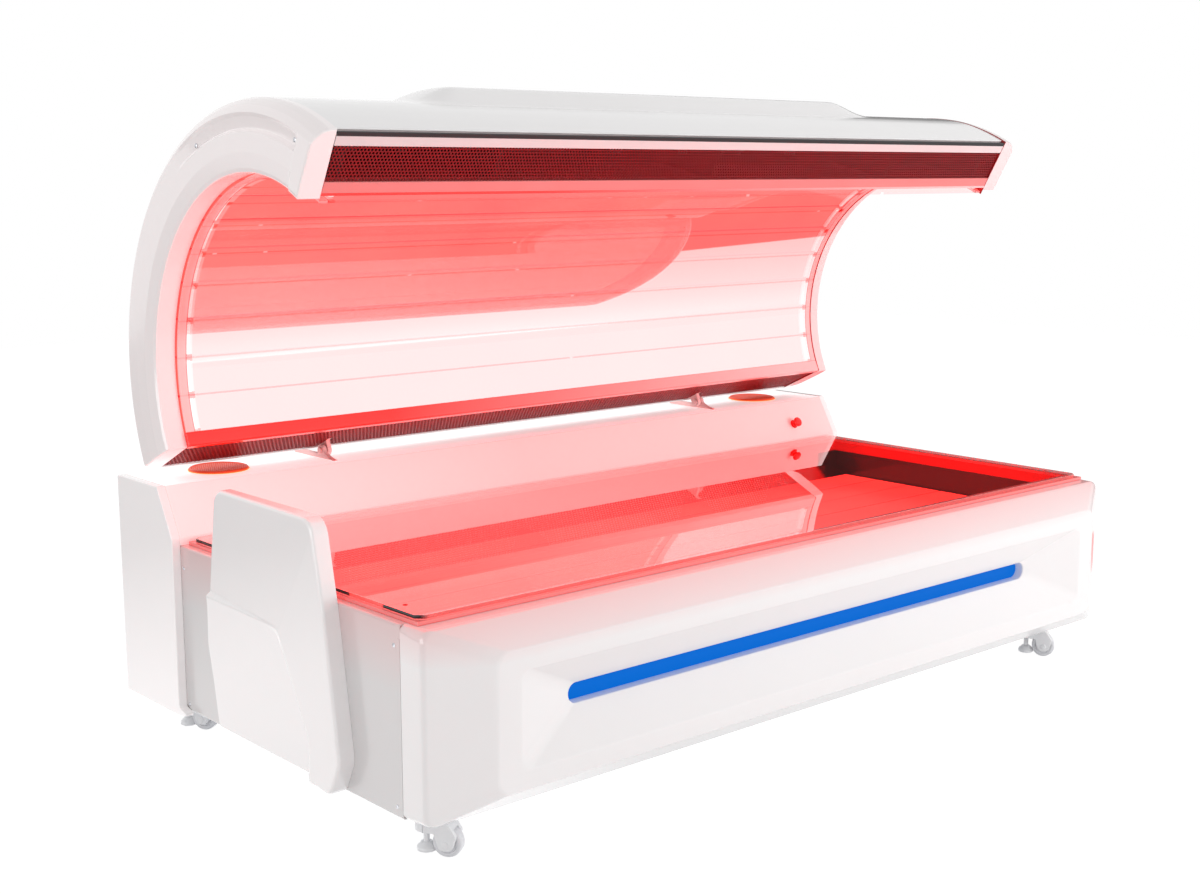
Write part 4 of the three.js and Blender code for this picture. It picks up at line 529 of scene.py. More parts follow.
def short_ticks(tree, across, row, chance):
    """Mask of short ticks at chance places along the joints."""
    cell = node(tree, "Math", [across, 1 / (sizes()["tick_pitch"] * MM)], operation="MULTIPLY")
    spot = node(tree, "CombineXYZ", [node(tree, "Math", [cell], operation="FLOOR"),
                                     node(tree, "Math", [row], operation="ROUND"), 0.0])
    drawn = node(tree, "TexWhiteNoise", {"Vector": spot}, noise_dimensions="3D").outputs["Value"]
    short = node(tree, "Math", [node(tree, "Math", [cell], operation="FRACT"), 0.25], operation="LESS_THAN")
    chosen = node(tree, "Math", [drawn, 1 - chance], operation="GREATER_THAN")
    return node(tree, "Math", [short, chosen], operation="MULTIPLY")


def round_the_arc(tree):
    """Coordinates of the canopy: x, y and z from the arc's axis, the turn about it, the light row and its size."""
    centre = np.array([0, ARC[0], ARC[1]]) * MM + ORIGIN
    from_axis = node(tree, "VectorMath", [node(tree, "TexCoord").outputs["Object"], tuple(centre)],
                     operation="SUBTRACT")
    split = node(tree, "SeparateXYZ", [from_axis])
    turn = node(tree, "Math", [split.outputs[2], split.outputs[1]], operation="ARCTAN2")
    start, row_size = (math.radians(value) for value in arc_rows())
    row = node(tree, "Math", [turn, 1 / row_size, -start / row_size], operation="MULTIPLY_ADD")
    return split.outputs, turn, row, row_size * LAMP_RADIUS


def acrylic_liner():
    """Extruded acrylic liner, bent to the arc: a bright, faintly hazy mirror over the red lamps behind it.

    The lamps' joints show through as thin lines with a few pale ticks. Beyond the rows the mirror is weaker and the
    sheet is painted pale pink for the lamps' light. Its haze is a painted glow, stronger near the back of the arc.
    """
    def build(tree):
        (x, _, _), turn, row, row_size = round_the_arc(tree)
        out = node(tree, "Math", [x], operation="ABSOLUTE")
        line = near_line(tree, row, row_size, 1.2, 2.6)
        beyond = node(tree, "MapRange", [out, 1012.5 * MM, 1014.5 * MM])
        blocks = node(tree, "MapRange", [out, 999.5 * MM, 1000.5 * MM])
        blocks = node(tree, "Math", [blocks, beyond], operation="SUBTRACT")
        parted = near_line(tree, row, row_size, 7.0, 8.5)

        ripple = bumpy(tree, 500, 0.12, 0)
        clear = node(tree, "BsdfTransparent", {"Color": linear("#fff4f4")})
        mirror = node(tree, "BsdfGlossy", {"Color": linear("#ffffff"), "Roughness": 0.015, "Normal": ripple})
        edge = node(tree, "Fresnel", {"IOR": 1.6, "Normal": ripple})
        high = node(tree, "MapRange", [turn, math.radians(14), math.radians(32), 0.62, 0.45])
        share = node(tree, "Math", [edge, 0.4, high], operation="MULTIPLY_ADD")
        top = node(tree, "MapRange", [turn, math.radians(38), math.radians(50), 1.0, 0.15])
        weaker = node(tree, "Math", [line, -0.24, 1.0], operation="MULTIPLY_ADD")
        parted_blocks = node(tree, "Math", [blocks, parted], operation="MULTIPLY")
        faded = node(tree, "Math", [beyond, -0.65, 1.0], operation="MULTIPLY_ADD")
        faded = node(tree, "Math", [parted_blocks, -0.4, faded], operation="MULTIPLY_ADD")
        for factor in (top, weaker, faded):
            share = node(tree, "Math", [share, factor], operation="MULTIPLY")
        face = node(tree, "MixShader", [on_front(tree, share), clear, mirror])

        # Painted haze: a glow over the face, stronger near the back of the arc, on the ticks and over the end blocks,
        # weaker on the joints.
        pale = node(tree, "MapRange", [turn, math.radians(5), math.radians(14), 0.2, 0.075])
        tick = node(tree, "Math", [line, short_ticks(tree, x, row, 0.045)], operation="MULTIPLY")
        painted_haze = node(tree, "Math", [tick, 0.3, pale], operation="MULTIPLY_ADD")
        for mask, amount in ((line, -0.07), (blocks, 0.16), (parted_blocks, -0.22)):
            painted_haze = node(tree, "Math", [mask, amount, painted_haze], operation="MULTIPLY_ADD")
        glow = node(tree, "Emission", {"Color": linear("#ffecec"), "Strength": on_front(tree, painted_haze)})

        off_seam = node(tree, "Math", [out, 1014.2 * MM], operation="SUBTRACT")
        off_seam = node(tree, "Math", [off_seam], operation="ABSOLUTE")
        seam = node(tree, "MapRange", [off_seam, 1.0 * MM, 1.8 * MM, 1.0, 0.0])
        # Painted lamp light: beyond the rows the sheet is pale pink; the dark red seam line is its own colour.
        shade = node(tree, "Mix", {0: seam, 6: linear("#f4b8b6"), 7: linear("#a01c1c")}, data_type="RGBA")
        border = node(tree, "BsdfPrincipled", {"Base Color": shade.outputs[2], "Roughness": 0.2})
        solid = node(tree, "Math", [seam, 0.25, 0.6], operation="MULTIPLY_ADD")
        solid = node(tree, "Math", [beyond, solid], operation="MULTIPLY")
        return node(tree, "AddShader", [node(tree, "MixShader", [solid, face, border]), glow])
    return finish("Acrylic bent polished liner", build)


def lamp_board(name, along_arc):
    """Diffuser of the red lamps: an even glow parted by thin dark joints.

    Rows are counted by angle about the arc's axis on the canopy, and by depth on the bed. Only the face glows.
    """
    def build(tree):
        if along_arc:
            (_, y, z), _, row, row_size = round_the_arc(tree)
            away = node(tree, "CombineXYZ", [0.0, y, z])
            radius = node(tree, "VectorMath", [away], operation="LENGTH").outputs["Value"]
            face = node(tree, "Math", [radius, 430 * MM], operation="LESS_THAN")
        else:
            _, y, z = split_place(tree)
            start, row_size = bed_rows()
            row = node(tree, "Math", [y, 1 / (row_size * MM), -at(1, start) / (row_size * MM)],
                       operation="MULTIPLY_ADD")
            face = node(tree, "Math", [z, at(2, 274)], operation="GREATER_THAN")
        joint = near_line(tree, row, row_size, 1.2, 3.4)
        place = node(tree, "TexCoord").outputs["Object"]
        drift = node(tree, "TexNoise", {"Vector": place, "Scale": 6.0, "Detail": 1.0})
        glow = node(tree, "Mix", {0: drift, 6: colours()["lamp_red"], 7: linear("#ff4038")}, data_type="RGBA")
        lined = node(tree, "Mix", {0: joint, 6: glow.outputs[2], 7: linear("#a81018")}, data_type="RGBA")
        return node(tree, "BsdfPrincipled", {
            "Base Color": linear("#b03028"), "Roughness": 0.45, "Emission Color": lined.outputs[2],
            "Emission Strength": node(tree, "Math", [face, colours()["lamp_strength"]], operation="MULTIPLY")})
    return finish(name, build)


def arc_rows():
    """First angle of the canopy's light rows and the step between them: twelve from the rear to the front rail."""
    start = REAR_ANGLE + math.degrees(math.asin(REAR_SETBACK / LAMP_RADIUS))
    end = FRONT_ANGLE - math.degrees(math.asin(FRONT_SETBACK / (LAMP_RADIUS + LAMP_DEPTH)))
    return start, (end - start) / CANOPY_ROWS


def bed_rows():
    """First depth of the bed's light rows and the step between them, in the middle of the well's floor."""
    well_front, well_rear, rows, step = 80, 873, 6, 115
    return (well_front + well_rear - rows * step) / 2, step


def red_enamel():
    """Gloss enamel on the steel well: pale pink on the rim under the sheet, red with a faint painted glow, and on the
    right end wall a painted lit band above painted shade of darker red.
    """
    def build(tree):
        across, _, height = split_place(tree)
        # Painted light and shade: the well is lit red with a glow, but the right end wall is painted dark below a lit
        # band.
        band = node(tree, "MapRange", [height, at(2, 343), at(2, 347)])
        inside = node(tree, "MapRange", [across, at(0, 960), at(0, 980), 1.0, 0.0])
        band = node(tree, "Math", [band, inside], operation="MAXIMUM")
        wall = node(tree, "Mix", {0: band, 6: linear("#460404"), 7: colours()["well_red"]}, data_type="RGBA")
        rim = node(tree, "MapRange", [height, at(2, 371.4), at(2, 372.2)])
        base = node(tree, "Mix", {0: rim, 6: wall.outputs[2], 7: linear("#f08c8a")}, data_type="RGBA")
        return node(tree, "BsdfPrincipled", {
            "Base Color": base.outputs[2], "Roughness": 0.22, "Coat Weight": 0.4, "Coat Roughness": 0.08,
            "Emission Color": linear("#ff1a14"),
            "Emission Strength": node(tree, "Math", [band, 0.14], operation="MULTIPLY"),
            "Normal": bumpy(tree, 3, 0.008)})
    return finish("Steel enamelled gloss red", build)


def rail_enamel():
    """Gloss enamel on the folded rails: bright red with a painted glow at the left, painted paler towards the right as
    a reflection of the room.
    """
    def build(tree):
        # Painted light: paler towards the right as a reflection of the room, with a glow that fades to the right.
        pale = node(tree, "MapRange", [split_place(tree)[0], at(0, -500), at(0, 900), 0.0, 0.8])
        red = tinted(tree, linear("#f02a24"), linear("#d81410"), 90, 0.5)
        base = node(tree, "Mix", {0: pale, 6: red, 7: linear("#f8dcdc")}, data_type="RGBA")
        return node(tree, "BsdfPrincipled", {
            "Base Color": base.outputs[2], "Roughness": 0.16, "Coat Weight": 0.5, "Coat Roughness": 0.05,
            "Emission Color": linear("#ff2018"),
            "Emission Strength": node(tree, "Math", [pale, -0.25, 0.25], operation="MULTIPLY_ADD"),
            "Normal": bumpy(tree, 3, 0.006)})
    return finish("Steel rail enamelled red", build)


def blue_strip():
    """Opal acrylic lit by blue lamps: a deep even blue, slightly lighter along its middle."""
    def build(tree):
        off = node(tree, "Math", [split_place(tree)[2], at(2, (SLOT_LOW + SLOT_HIGH) / 2)], operation="SUBTRACT")
        off = node(tree, "Math", [off], operation="ABSOLUTE")
        share = node(tree, "MapRange", [off, 0.0, 20 * MM, 0.25, 0.0])
        seen = node(tree, "Mix", {0: share, 6: colours()["strip_blue"], 7: linear("#0878e4")}, data_type="RGBA")
        return node(tree, "BsdfPrincipled", {
            "Base Color": linear("#031c44"), "Roughness": 0.5, "Specular IOR Level": 0.05,
            "Emission Color": seen.outputs[2], "Emission Strength": colours()["strip_strength"],
            "Normal": bumpy(tree, 40, 0.05, 0)})
    return finish("Acrylic opal lit blue", build)


def frame_paint():
    """Painted steel frame of the canopy: dark grey behind the grilles, where it also stands in for their shade, and
    painted pale pink for the lamps' light where its hinge lugs show.
    """
    def build(tree):
        # Painted lamp light: pale pink low down, where the hinge lugs show; dark grey above.
        inside = node(tree, "MapRange", [split_place(tree)[2], at(2, 545), at(2, 550)])
        grey = tinted(tree, linear("#2c2628"), linear("#1f1a1c"), 40, 0.6)
        base = node(tree, "Mix", {0: inside, 6: linear("#f6c4c2"), 7: grey}, data_type="RGBA")
        return node(tree, "BsdfPrincipled", {
            "Base Color": base.outputs[2], "Roughness": 0.55, "Normal": bumpy(tree, 4, 0.01)})
    return finish("Steel frame painted", build)


def red_mesh():
    """Perforated steel, painted dark red: satin, a little worn to a browner red between the holes, with a faint painted
    red glow for the lamps' light behind it.
    """
    def build(tree):
        return node(tree, "BsdfPrincipled", {
            "Base Color": tinted(tree, colours()["mesh_red"], linear("#4a060c"), 30, 0.6), "Roughness": 0.45,
            "Specular IOR Level": 0.25, "Emission Color": linear("#ff1a1a"), "Emission Strength": 0.03,
            "Normal": bumpy(tree, 2.5, 0.01)})
    return finish("Steel perforated dark red", build)


def speaker_mesh():
    """Perforated steel, painted orange red, with its light from below painted on as a glow: warm red with a yellow rim.
    """
    return plain("Steel perforated orange", "#f05a3a", "#e04020", 12, 0.4, bump=1.5, depth=0.01, glow="#ff3a10",
                 strength=0.18)


def plain(name, base, other, grain, roughness, metallic=0.0, depth=0.01, bump=None, glow=None, strength=0.0):
    """Material of one finish: its colour drifts by noise of a grain in millimetres, which also lifts its surface.

    The base is a hex colour or the name of a chosen one.
    """
    def build(tree):
        first = colours()[base] if base in colours() else linear(base)
        inputs = {"Base Color": tinted(tree, first, linear(other), grain, 0.6), "Roughness": roughness,
                  "Metallic": metallic, "Normal": bumpy(tree, bump or grain, depth)}
        if glow:
            inputs.update({"Emission Color": linear(glow), "Emission Strength": strength})
        return node(tree, "BsdfPrincipled", inputs)
    return finish(name, build)


def rail_in_painted_lamp_pink():
    """Powder-coated rail under the front grille, its colour painted pink for the lamps' light beside it."""
    return plain("Steel sheet powder coat painted lamp pink", "#f28c8a", "#ea7674", 120, 0.22)


def rail_coat():
    """Powder coat of the rail above the front grille: white, painted a little grey and pink for what is round it, its
    shade and the lamps' light.
    """
    return plain("Steel rail powder coat", "#e6dddd", "#dfd2d2", 150, 0.22)


def coat_in_painted_lamp_pink():
    """Satin powder coat of the hinge plates, its colour painted pale pink for the lamps' light."""
    return plain("Steel sheet satin coat painted lamp pink", "#fbcac8", "#f5bcba", 60, 0.4)


def lit_rim():
    """Acrylic light ring under the speaker grille: a thin yellow-orange glow."""
    def build(tree):
        shade = tinted(tree, linear("#ffb020"), linear("#ff7a10"), 8, 0.6)
        return node(tree, "BsdfPrincipled", {
            "Base Color": linear("#ff9a4a"), "Roughness": 0.3, "Emission Color": shade, "Emission Strength": 0.35})
    return finish("Acrylic light ring amber", build)


def end_block():
    """Opal acrylic end block of a light row: nearly white, painted faintly pink, with a painted glow for the lamps'
    light.
    """
    def build(tree):
        shade = tinted(tree, linear("#ffe4e2"), linear("#ffc4c0"), 20, 0.6)
        return node(tree, "BsdfPrincipled", {
            "Base Color": shade, "Roughness": 0.35, "Emission Color": shade, "Emission Strength": 0.3})
    return finish("Acrylic opal end block", build)


def glossy_button():
    """Polycarbonate, moulded gloss red: a saturated red with a sharp highlight."""
    return plain("Polycarbonate moulded red", "button_red", "#c40e0e", 9, 0.18)


def dark_gasket():
    """Rubber gasket between the right cap and the canopy: a thin dark line, painted red for the lamps' light."""
    return plain("Rubber gasket painted dark red by lamp light", "#a01418", "#780c10", 15, 0.5)


def black_abs():
    """ABS moulded black, spark-eroded tool: a fine leathery grain of about 1 mm that breaks up the light."""
    return plain("ABS moulded satin black", "#1a1a1c", "#242427", 1.2, 0.5, depth=0.02)


def nylon():
    """Glass-filled nylon, moulded pale grey: milky, satin, with faint flow marks a few centimetres long."""
    return plain("Nylon moulded pale grey", "#f8f8f9", "#eeeef1", 18, 0.3, depth=0.02)


def tread():
    """Thermoplastic rubber tread: pale grey, soft and dull with a fine grain."""
    return plain("Rubber moulded pale grey", "#ececef", "#dfdfe3", 2, 0.5, depth=0.02)


def zinc():
    """Zinc-plated steel: cool grey with cloudy spangle about 12 mm across."""
    return plain("Steel zinc plated", "#b4b8bd", "#c8cbd0", 12, 0.38, 1.0)


def mill_aluminium():
    """Mill-finish aluminium: soft grey shine with long faint drawing marks."""
    return plain("Aluminium mill finish", "#c9ccd1", "#b9bdc3", 25, 0.36, 1.0)


def flushed_steel():
    """Screws on the sheet: steel that the lamps turn dark red."""
    return plain("Steel screw in red light", "#c03430", "#9a2422", 3, 0.4, 0.4)


def bright_steel():
    """Ground steel pin and screws: clean, bright, fine marks half a millimetre apart."""
    return plain("Steel ground bright", "#cfd0d4", "#b8b9be", 0.5, 0.24, 1.0, depth=0.002)


# The camera and the stage


class LIGHTBED_OT_stage(bpy.types.Operator):
    """Adds the pale floor, the soft studio light and the camera at the photograph's angle."""

    bl_idname = "light_bed.stage"
    bl_label = "Stage"

    def execute(self, context):
        scene = context.scene
        scene.view_settings.view_transform = "Standard"
        self.camera(scene)
        self.floor(scene)
        self.world(scene)
        self.lamp(scene, "Soft light", (3.0, -4.9, 1.3), (0, 0, 0.4), 3.0, 146)
        return {"FINISHED"}

    def camera(self, scene):
        """Camera whose axes follow from azimuth, elevation and roll."""
        azimuth, elevation, roll = (math.radians(a) for a in (-41.31, 9.61, -0.05))
        ahead = np.array([-math.sin(azimuth) * math.cos(elevation), math.cos(azimuth) * math.cos(elevation),
                          -math.sin(elevation)])
        level = np.array([math.cos(azimuth), math.sin(azimuth), 0])
        upright = np.cross(level, ahead)
        right = level * math.cos(roll) + upright * math.sin(roll)
        up = upright * math.cos(roll) - level * math.sin(roll)
        data = bpy.data.cameras.new("Camera")
        data.lens, data.sensor_width, data.clip_start, data.clip_end = 48.94, 36, 0.1, 100
        camera = bpy.data.objects.new("Camera", data)
        place = np.array([-2682.0, -2302.4, 1175.24]) * MM + ORIGIN
        camera.matrix_world = Matrix([[*row, p] for row, p in zip(np.stack([right, up, -ahead], 1), place)]
                                     + [[0, 0, 0, 1]])
        scene.collection.objects.link(camera)
        scene.camera = camera

    def floor(self, scene):
        """Wide flat floor at the wheels' foot: white to the camera; in mirrors it is painted brighter at the left and
        shows a painted red spill of the lamps' light at the right.
        """
        def build(tree):
            paint = node(tree, "BsdfDiffuse", {"Color": linear("#ededed")})
            path = node(tree, "LightPath")
            mirrored = path.outputs["Is Glossy Ray"]
            seen = node(tree, "Math", [path.outputs["Is Camera Ray"], mirrored], operation="MAXIMUM")
            x, y, _ = split_place(tree)
            # Painted reflection: in mirrors the floor is brighter at the left and dimmer far behind.
            left = node(tree, "MapRange", [x, -0.4, -1.2, 0.0, 1.0])
            away = node(tree, "MapRange", [y, 0.7, 2.4, 0.7, -0.8])
            glossy = node(tree, "Math", [left, away, -0.1], operation="MULTIPLY_ADD")
            fading = node(tree, "Math", [glossy, mirrored, 1.12], operation="MULTIPLY_ADD")
            # Painted reflection: a red spill of the lamps' light at the right, seen only in mirrors.
            edge = node(tree, "Math", [x, -0.21, y], operation="MULTIPLY_ADD")
            spill = mirrored
            for limit in ([edge, -0.51, -0.49], [x, 1.2, 1.25], [x, 2.5, 2.55, 1.0, 0.0]):
                spill = node(tree, "Math", [spill, node(tree, "MapRange", limit)], operation="MULTIPLY")
            shade = node(tree, "Mix", {0: spill, 6: linear("#ffffff"), 7: linear("#ff2c2c")}, data_type="RGBA")
            light = node(tree, "Emission", {"Color": shade.outputs[2], "Strength": fading})
            share = node(tree, "Math", [seen, 0.85], operation="MULTIPLY")
            return node(tree, "MixShader", [share, paint, light])
        half, count = 9, 13
        reach = np.linspace(-half, half, count)
        x, y = np.meshgrid(reach, reach)
        points = np.stack([x, y, np.zeros_like(x)], -1).reshape(-1, 3)
        index = np.arange(count * count).reshape(count, count)
        faces = np.stack([index[:-1, :-1], index[:-1, 1:], index[1:, 1:], index[1:, :-1]], -1).reshape(-1, 4)
        mesh = bpy.data.meshes.new("Floor")
        mesh.from_pydata(points, [], faces.tolist())
        mesh.materials.append(finish("Floor painted white", build))
        floor = bpy.data.objects.new("Floor", mesh)
        scene.collection.objects.link(floor)

    def world(self, scene):
        """White to the camera; mirrors also see a dark corner behind at the right and a bright one at the left.

        The rest is lit by a dome that brightens towards the back.
        """
        world = bpy.data.worlds.new("Studio")
        world.use_nodes = True
        tree = world.node_tree
        tree.nodes.clear()
        path = node(tree, "LightPath")
        x, y, z = node(tree, "SeparateXYZ", [node(tree, "TexCoord").outputs["Generated"]]).outputs
        level = node(tree, "MapRange", [y, -0.9, 0.7, 0.56, 1.0])
        for share in ([x, -1.0, 0.1, 0.3, 0.0], [z, 0.2, 1.0, 0.0, -0.3]):
            level = node(tree, "Math", [level, node(tree, "MapRange", share)], operation="ADD")
        dome = node(tree, "Background", {"Color": linear("#ffffff"), "Strength": level})
        corner = node(tree, "MapRange", [x, 0.62, 0.69, 0.0, 1.0])
        for share in ([y, -0.1, 0.15, 0.0, 0.98], [z, 0.22, 0.3, 1.0, 0.0]):
            corner = node(tree, "Math", [corner, node(tree, "MapRange", share)], operation="MULTIPLY")
        glint = node(tree, "MapRange", [x, -0.92, -0.8, 4.5, 1.0])
        studio = node(tree, "Math", [glint, corner], operation="SUBTRACT")
        room = node(tree, "Background", {"Color": linear("#ffffff"), "Strength": studio})
        white = node(tree, "Background", {"Color": linear("#ffffff"), "Strength": 1.0})
        mirrored = node(tree, "MixShader", [path.outputs["Is Glossy Ray"], dome, room])
        clear = node(tree, "Math", [path.outputs["Is Camera Ray"], path.outputs["Is Transmission Ray"]],
                     operation="MAXIMUM")
        node(tree, "OutputWorld", {"Surface": node(tree, "MixShader", [clear, mirrored, white])})
        scene.world = world

    def lamp(self, scene, name, place, target, size, power):
        """Square soft light that faces a target."""
        data = bpy.data.lights.new(name, "AREA")
        data.size, data.energy = size, power
        light = bpy.data.objects.new(name, data)
        light.visible_glossy = False
        light.location = place
        aim = Matrix.Translation(place).to_translation() - Matrix.Translation(target).to_translation()
        light.rotation_mode = "QUATERNION"
        light.rotation_quaternion = aim.to_track_quat("Z", "Y")
        scene.collection.objects.link(light)


# The base


def cover_ring(half, bottom, top, radius, y):
    """Rounded rectangle of the front cover at one depth."""
    outline = rounded([[-half, bottom, radius], [half, bottom, radius], [half, top, radius], [-half, top, radius]],
                      10)
    return standing("y", outline, y)


def eased_stations(stations, segments=4):
    """Stations of [half length, bottom, top, corner radius, depth, easing], each corner of their path rounded.

    Between the points at its easing before and after a station the path is a quadratic curve.
    """
    values = [np.array(station[:5], float) for station in stations]
    path = [values[0]]
    for before, here, after, station in zip(values, values[1:], values[2:], stations[1:]):
        easing = station[5]
        gap_before, gap_after = np.abs(here - before).max(), np.abs(after - here).max()
        start = here + (before - here) * min(0.5, easing / gap_before)
        end = here + (after - here) * min(0.5, easing / gap_after)
        path += [(1 - t) ** 2 * start + 2 * t * (1 - t) * here + t * t * end for t in steps(segments)]
    return path + [values[-1]]


class LIGHTBED_OT_front_cover(bpy.types.Operator):
    """Adds the moulded front cover: wrapped sides, a raised rim and a recess that slopes to the light slot."""

    bl_idname = "light_bed.front_cover"
    bl_label = "Front Cover"

    def execute(self, context):
        edge, rim = sizes()["cover_edge"], sizes()["rim_edge"]
        outside = eased_stations([
            [BASE_HALF, 0, BASE_HEIGHT, 14, COVER_PROJECTION, 0],
            [BASE_HALF, 0, BASE_HEIGHT, 24, 0, edge],
            [961, 51, 322, 30, -67, rim],
            [907, 88, 281, 25, -67, rim],
            [747, 166, 207, 20.4, -8, 2.5],
            [747, 166, 207, 20.4, 16, 0],
        ])
        inside = eased_stations([
            [751, 162, 211, 24.4, 16, 0],
            [751, 162, 211, 24.4, -3, 1],
            [911, 84, 285, 29, -59, 1],
            [957, 55, 318, 26, -59, 1],
            [1072, 8, 363, 16, 4, 1],
            [1076, 4, 367, 20, 13, 1],
            [1076, 4, 367, 10, COVER_PROJECTION, 0],
        ], 1)
        rings = [cover_ring(*station) for station in outside + inside]
        # The cover's white is painted pink towards the top and given a faint painted glow, for the lamps' light.
        piece("front_cover_moulding", "base", [loft(rings, closed=True)], moulded_abs(" cover", 0.5, 0.02),
              ("front_panel",), angle=50)
        return {"FINISHED"}


class LIGHTBED_OT_front_light(bpy.types.Operator):
    """Adds the pill-shaped blue light strip, with a slightly crowned face."""

    bl_idname = "light_bed.front_light"
    bl_label = "Front Light"

    def execute(self, context):
        half, low, high = 746.7, SLOT_LOW, SLOT_HIGH
        radius = (high - low) / 2
        pill = rounded([[-half, low, radius], [half, low, radius], [half, high, radius], [-half, high, radius]], 12)
        wide = inset(pill, -6)
        rings = [standing("y", inset(pill, inwards), y) for inwards, y in ((9, 11.2), (5, 11.4), (2, 12), (0.5, 13))]
        rings += [standing("y", pill, 14), standing("y", pill, 16.3), standing("y", wide, 16.3),
                  standing("y", wide, 21)]
        piece("front_light_strip", "base", [loft(rings)], blue_strip(), ("front_light_lens",))
        return {"FINISHED"}


class LIGHTBED_OT_side_sheets(bpy.types.Operator):
    """Adds the folded side sheets, their lap strips and their screws."""

    bl_idname = "light_bed.side_sheets"
    bl_label = "Side Sheets"

    def execute(self, context):
        for side, sign in (("left", -1), ("right", 1)):
            # The side sheets and lap strips are painted pink towards the top for the lamps' light.
            refined(f"{side}_side_panel", f"{side}_side_sheet", powder_coat(), 0.8)
            strip = rounded([[67.6, 18, 3], [78, 18, 3], [78, 344, 7], [67.6, 344, 3]])
            low, high = sorted((sign * (BASE_HALF - 0.2), sign * (BASE_HALF + 0.7)))
            piece(f"{side}_lap_strip", "base", [prism("x", strip, low, high, 0.4, 2)], powder_coat())
            spots = [(86, 329), (86, 21), (893, 322), (893, 15)]
            screws = [screw((sign * BASE_HALF, y, z), (sign, 0, 0), 4.2) for y, z in spots]
            piece(f"{side}_sheet_screws", "base", screws, bright_steel())
        return {"FINISHED"}


def screw(place, direction, radius):
    """Low domed screw head with a round socket, standing on a face."""
    profile = [[0, -0.4], [radius, -0.4], [radius, 0.5], [radius * 0.86, 1.2], [radius * 0.55, 1.6],
               [radius * 0.42, 1.6], [radius * 0.34, 0.6], [0, 0.3]]
    return turned(profile, place, direction, 20)


def wing_depth(points):
    """Depth of the wing's outer face behind its plane, in (y, z).

    Right of a slanting line it deepens with the distance from that line. Below the shoulder a facet deepens towards
    the foot. Both are eased in over a few millimetres inside their outlines, and the deeper one is taken.
    """
    top, foot = np.array([300.2, 501.0]), np.array([430.4, 287.1])
    along = (foot - top) / np.linalg.norm(foot - top)
    away = points - foot
    hollow = 10 / 292 * np.abs(along[0] * away[:, 1] - along[1] * away[:, 0])
    upper = np.array([foot, [830, 306], [830, 545], [273.4, 545]])
    facet = 32 / 308 * (303 - points[:, 1])
    lower = rounded([[337, -40], [337, 32.5, 20], [331.1, 86.1, 90], [439.2, 289.8, 34], [507.2, 303, 40], [830, 303],
                     [830, -40]], 12)
    hollow = hollow * smooth(depth_inside(points, upper), 0, 7)
    facet = facet * smooth(depth_inside(points, lower), 0, 12)
    return np.maximum(np.maximum(hollow, facet), 0)


class LIGHTBED_OT_wing(bpy.types.Operator):
    """Adds the wing on the left end: rings shrink from its rounded outline to a middle, over a shaped face."""

    bl_idname = "light_bed.wing"
    bl_label = "Wing"

    def execute(self, context):
        shares = [[0.06, 0, 1], [0.13, 0.01, 1], [0.9, 0.015, 0.25], [0.905, 0.36, 2], [0.873, 0.52, 0.25],
                  [0.815, 1, 1], [0.135, 1, 1], [0.074, 0.678, 2], [0, 0.138, 1]]
        corners = [[226 + 584 * across, -5 + 536 * rise, 40 * radius] for across, rise, radius in shares]
        outline = resampled(rounded(corners, 12), 440)
        outer, inner = -1116, -1080.3
        face = outer + wing_depth(outline)
        edge = np.minimum(sizes()["wing_edge"], 0.45 * (inner - face))
        rings = [standing("x", outline, inner), np.column_stack([face + edge, outline])]
        for turn in steps(5)[1:] * math.pi / 2:
            ring = inset(outline, edge * (1 - math.cos(turn)))
            rings.append(np.column_stack([face + edge * (1 - math.sin(turn)), ring]))
        rim, middle = rings[-1][:, 1:], np.array([500.0, 240.0])
        for share in steps(110)[1:-1]:
            ring = rim + (middle - rim) * share
            rings.append(np.column_stack([outer + wing_depth(ring), ring]))
        # The wing gets a faint painted glow.
        piece("left_wing_moulding", "base", [loft(rings)], moulded_abs(" wing", painted_glow=0.06), ("left_wing_panel",),
              angle=60)
        return {"FINISHED"}


class LIGHTBED_OT_console(bpy.types.Operator):
    """Adds the console along the back and the end panels of its column."""

    bl_idname = "light_bed.console"
    bl_label = "Console"

    def execute(self, context):
        refined("rear_console_shell", "rear_console", satin_coat(), 0.6)
        for side in ("left", "right"):
            # The column ends get a painted glow.
            refined(f"{side}_column_panel", f"{side}_column_end", moulded_abs(" column", painted_glow=0.13), 2)
        refined("rear_cover", "rear_cover_sheet", powder_coat(" back", 0), 0)
        return {"FINISHED"}


class LIGHTBED_OT_bed(bpy.types.Operator):
    """Adds the acrylic sheet a person lies on, with its chamfered corners and screws, and lights the boards below."""

    bl_idname = "light_bed.bed"
    bl_label = "Bed"

    def execute(self, context):
        x, front, rear, chamfer, low, high = 1054, 43, 897, 15, 379, 387
        outline = rounded([[-x, front + chamfer, 4], [-x + chamfer, front, 4], [x - chamfer, front, 4],
                           [x, front + chamfer, 4], [x, rear - chamfer, 4], [x - chamfer, rear, 4],
                           [-x + chamfer, rear, 4], [-x, rear - chamfer, 4]], 3)
        piece("bed_acrylic_sheet", "base", [prism("z", outline, low, high, 1, 3)], acrylic_sheet(),
              ("bed_acrylic",))
        spots = [(side * 1028, y) for side in (-1, 1) for y in (124, 816)]
        piece("bed_sheet_screws", "base", [screw((*spot, high), (0, 0, 1), 5) for spot in spots], flushed_steel())
        for row in ("front", "middle", "rear"):
            frame["nodes"][f"bed_light_module_{row}"].data.materials[0] = lamp_board("Lamp board bed", False)
        frame["nodes"]["bed_light_well"].data.materials[0] = red_enamel()
        return {"FINISHED"}


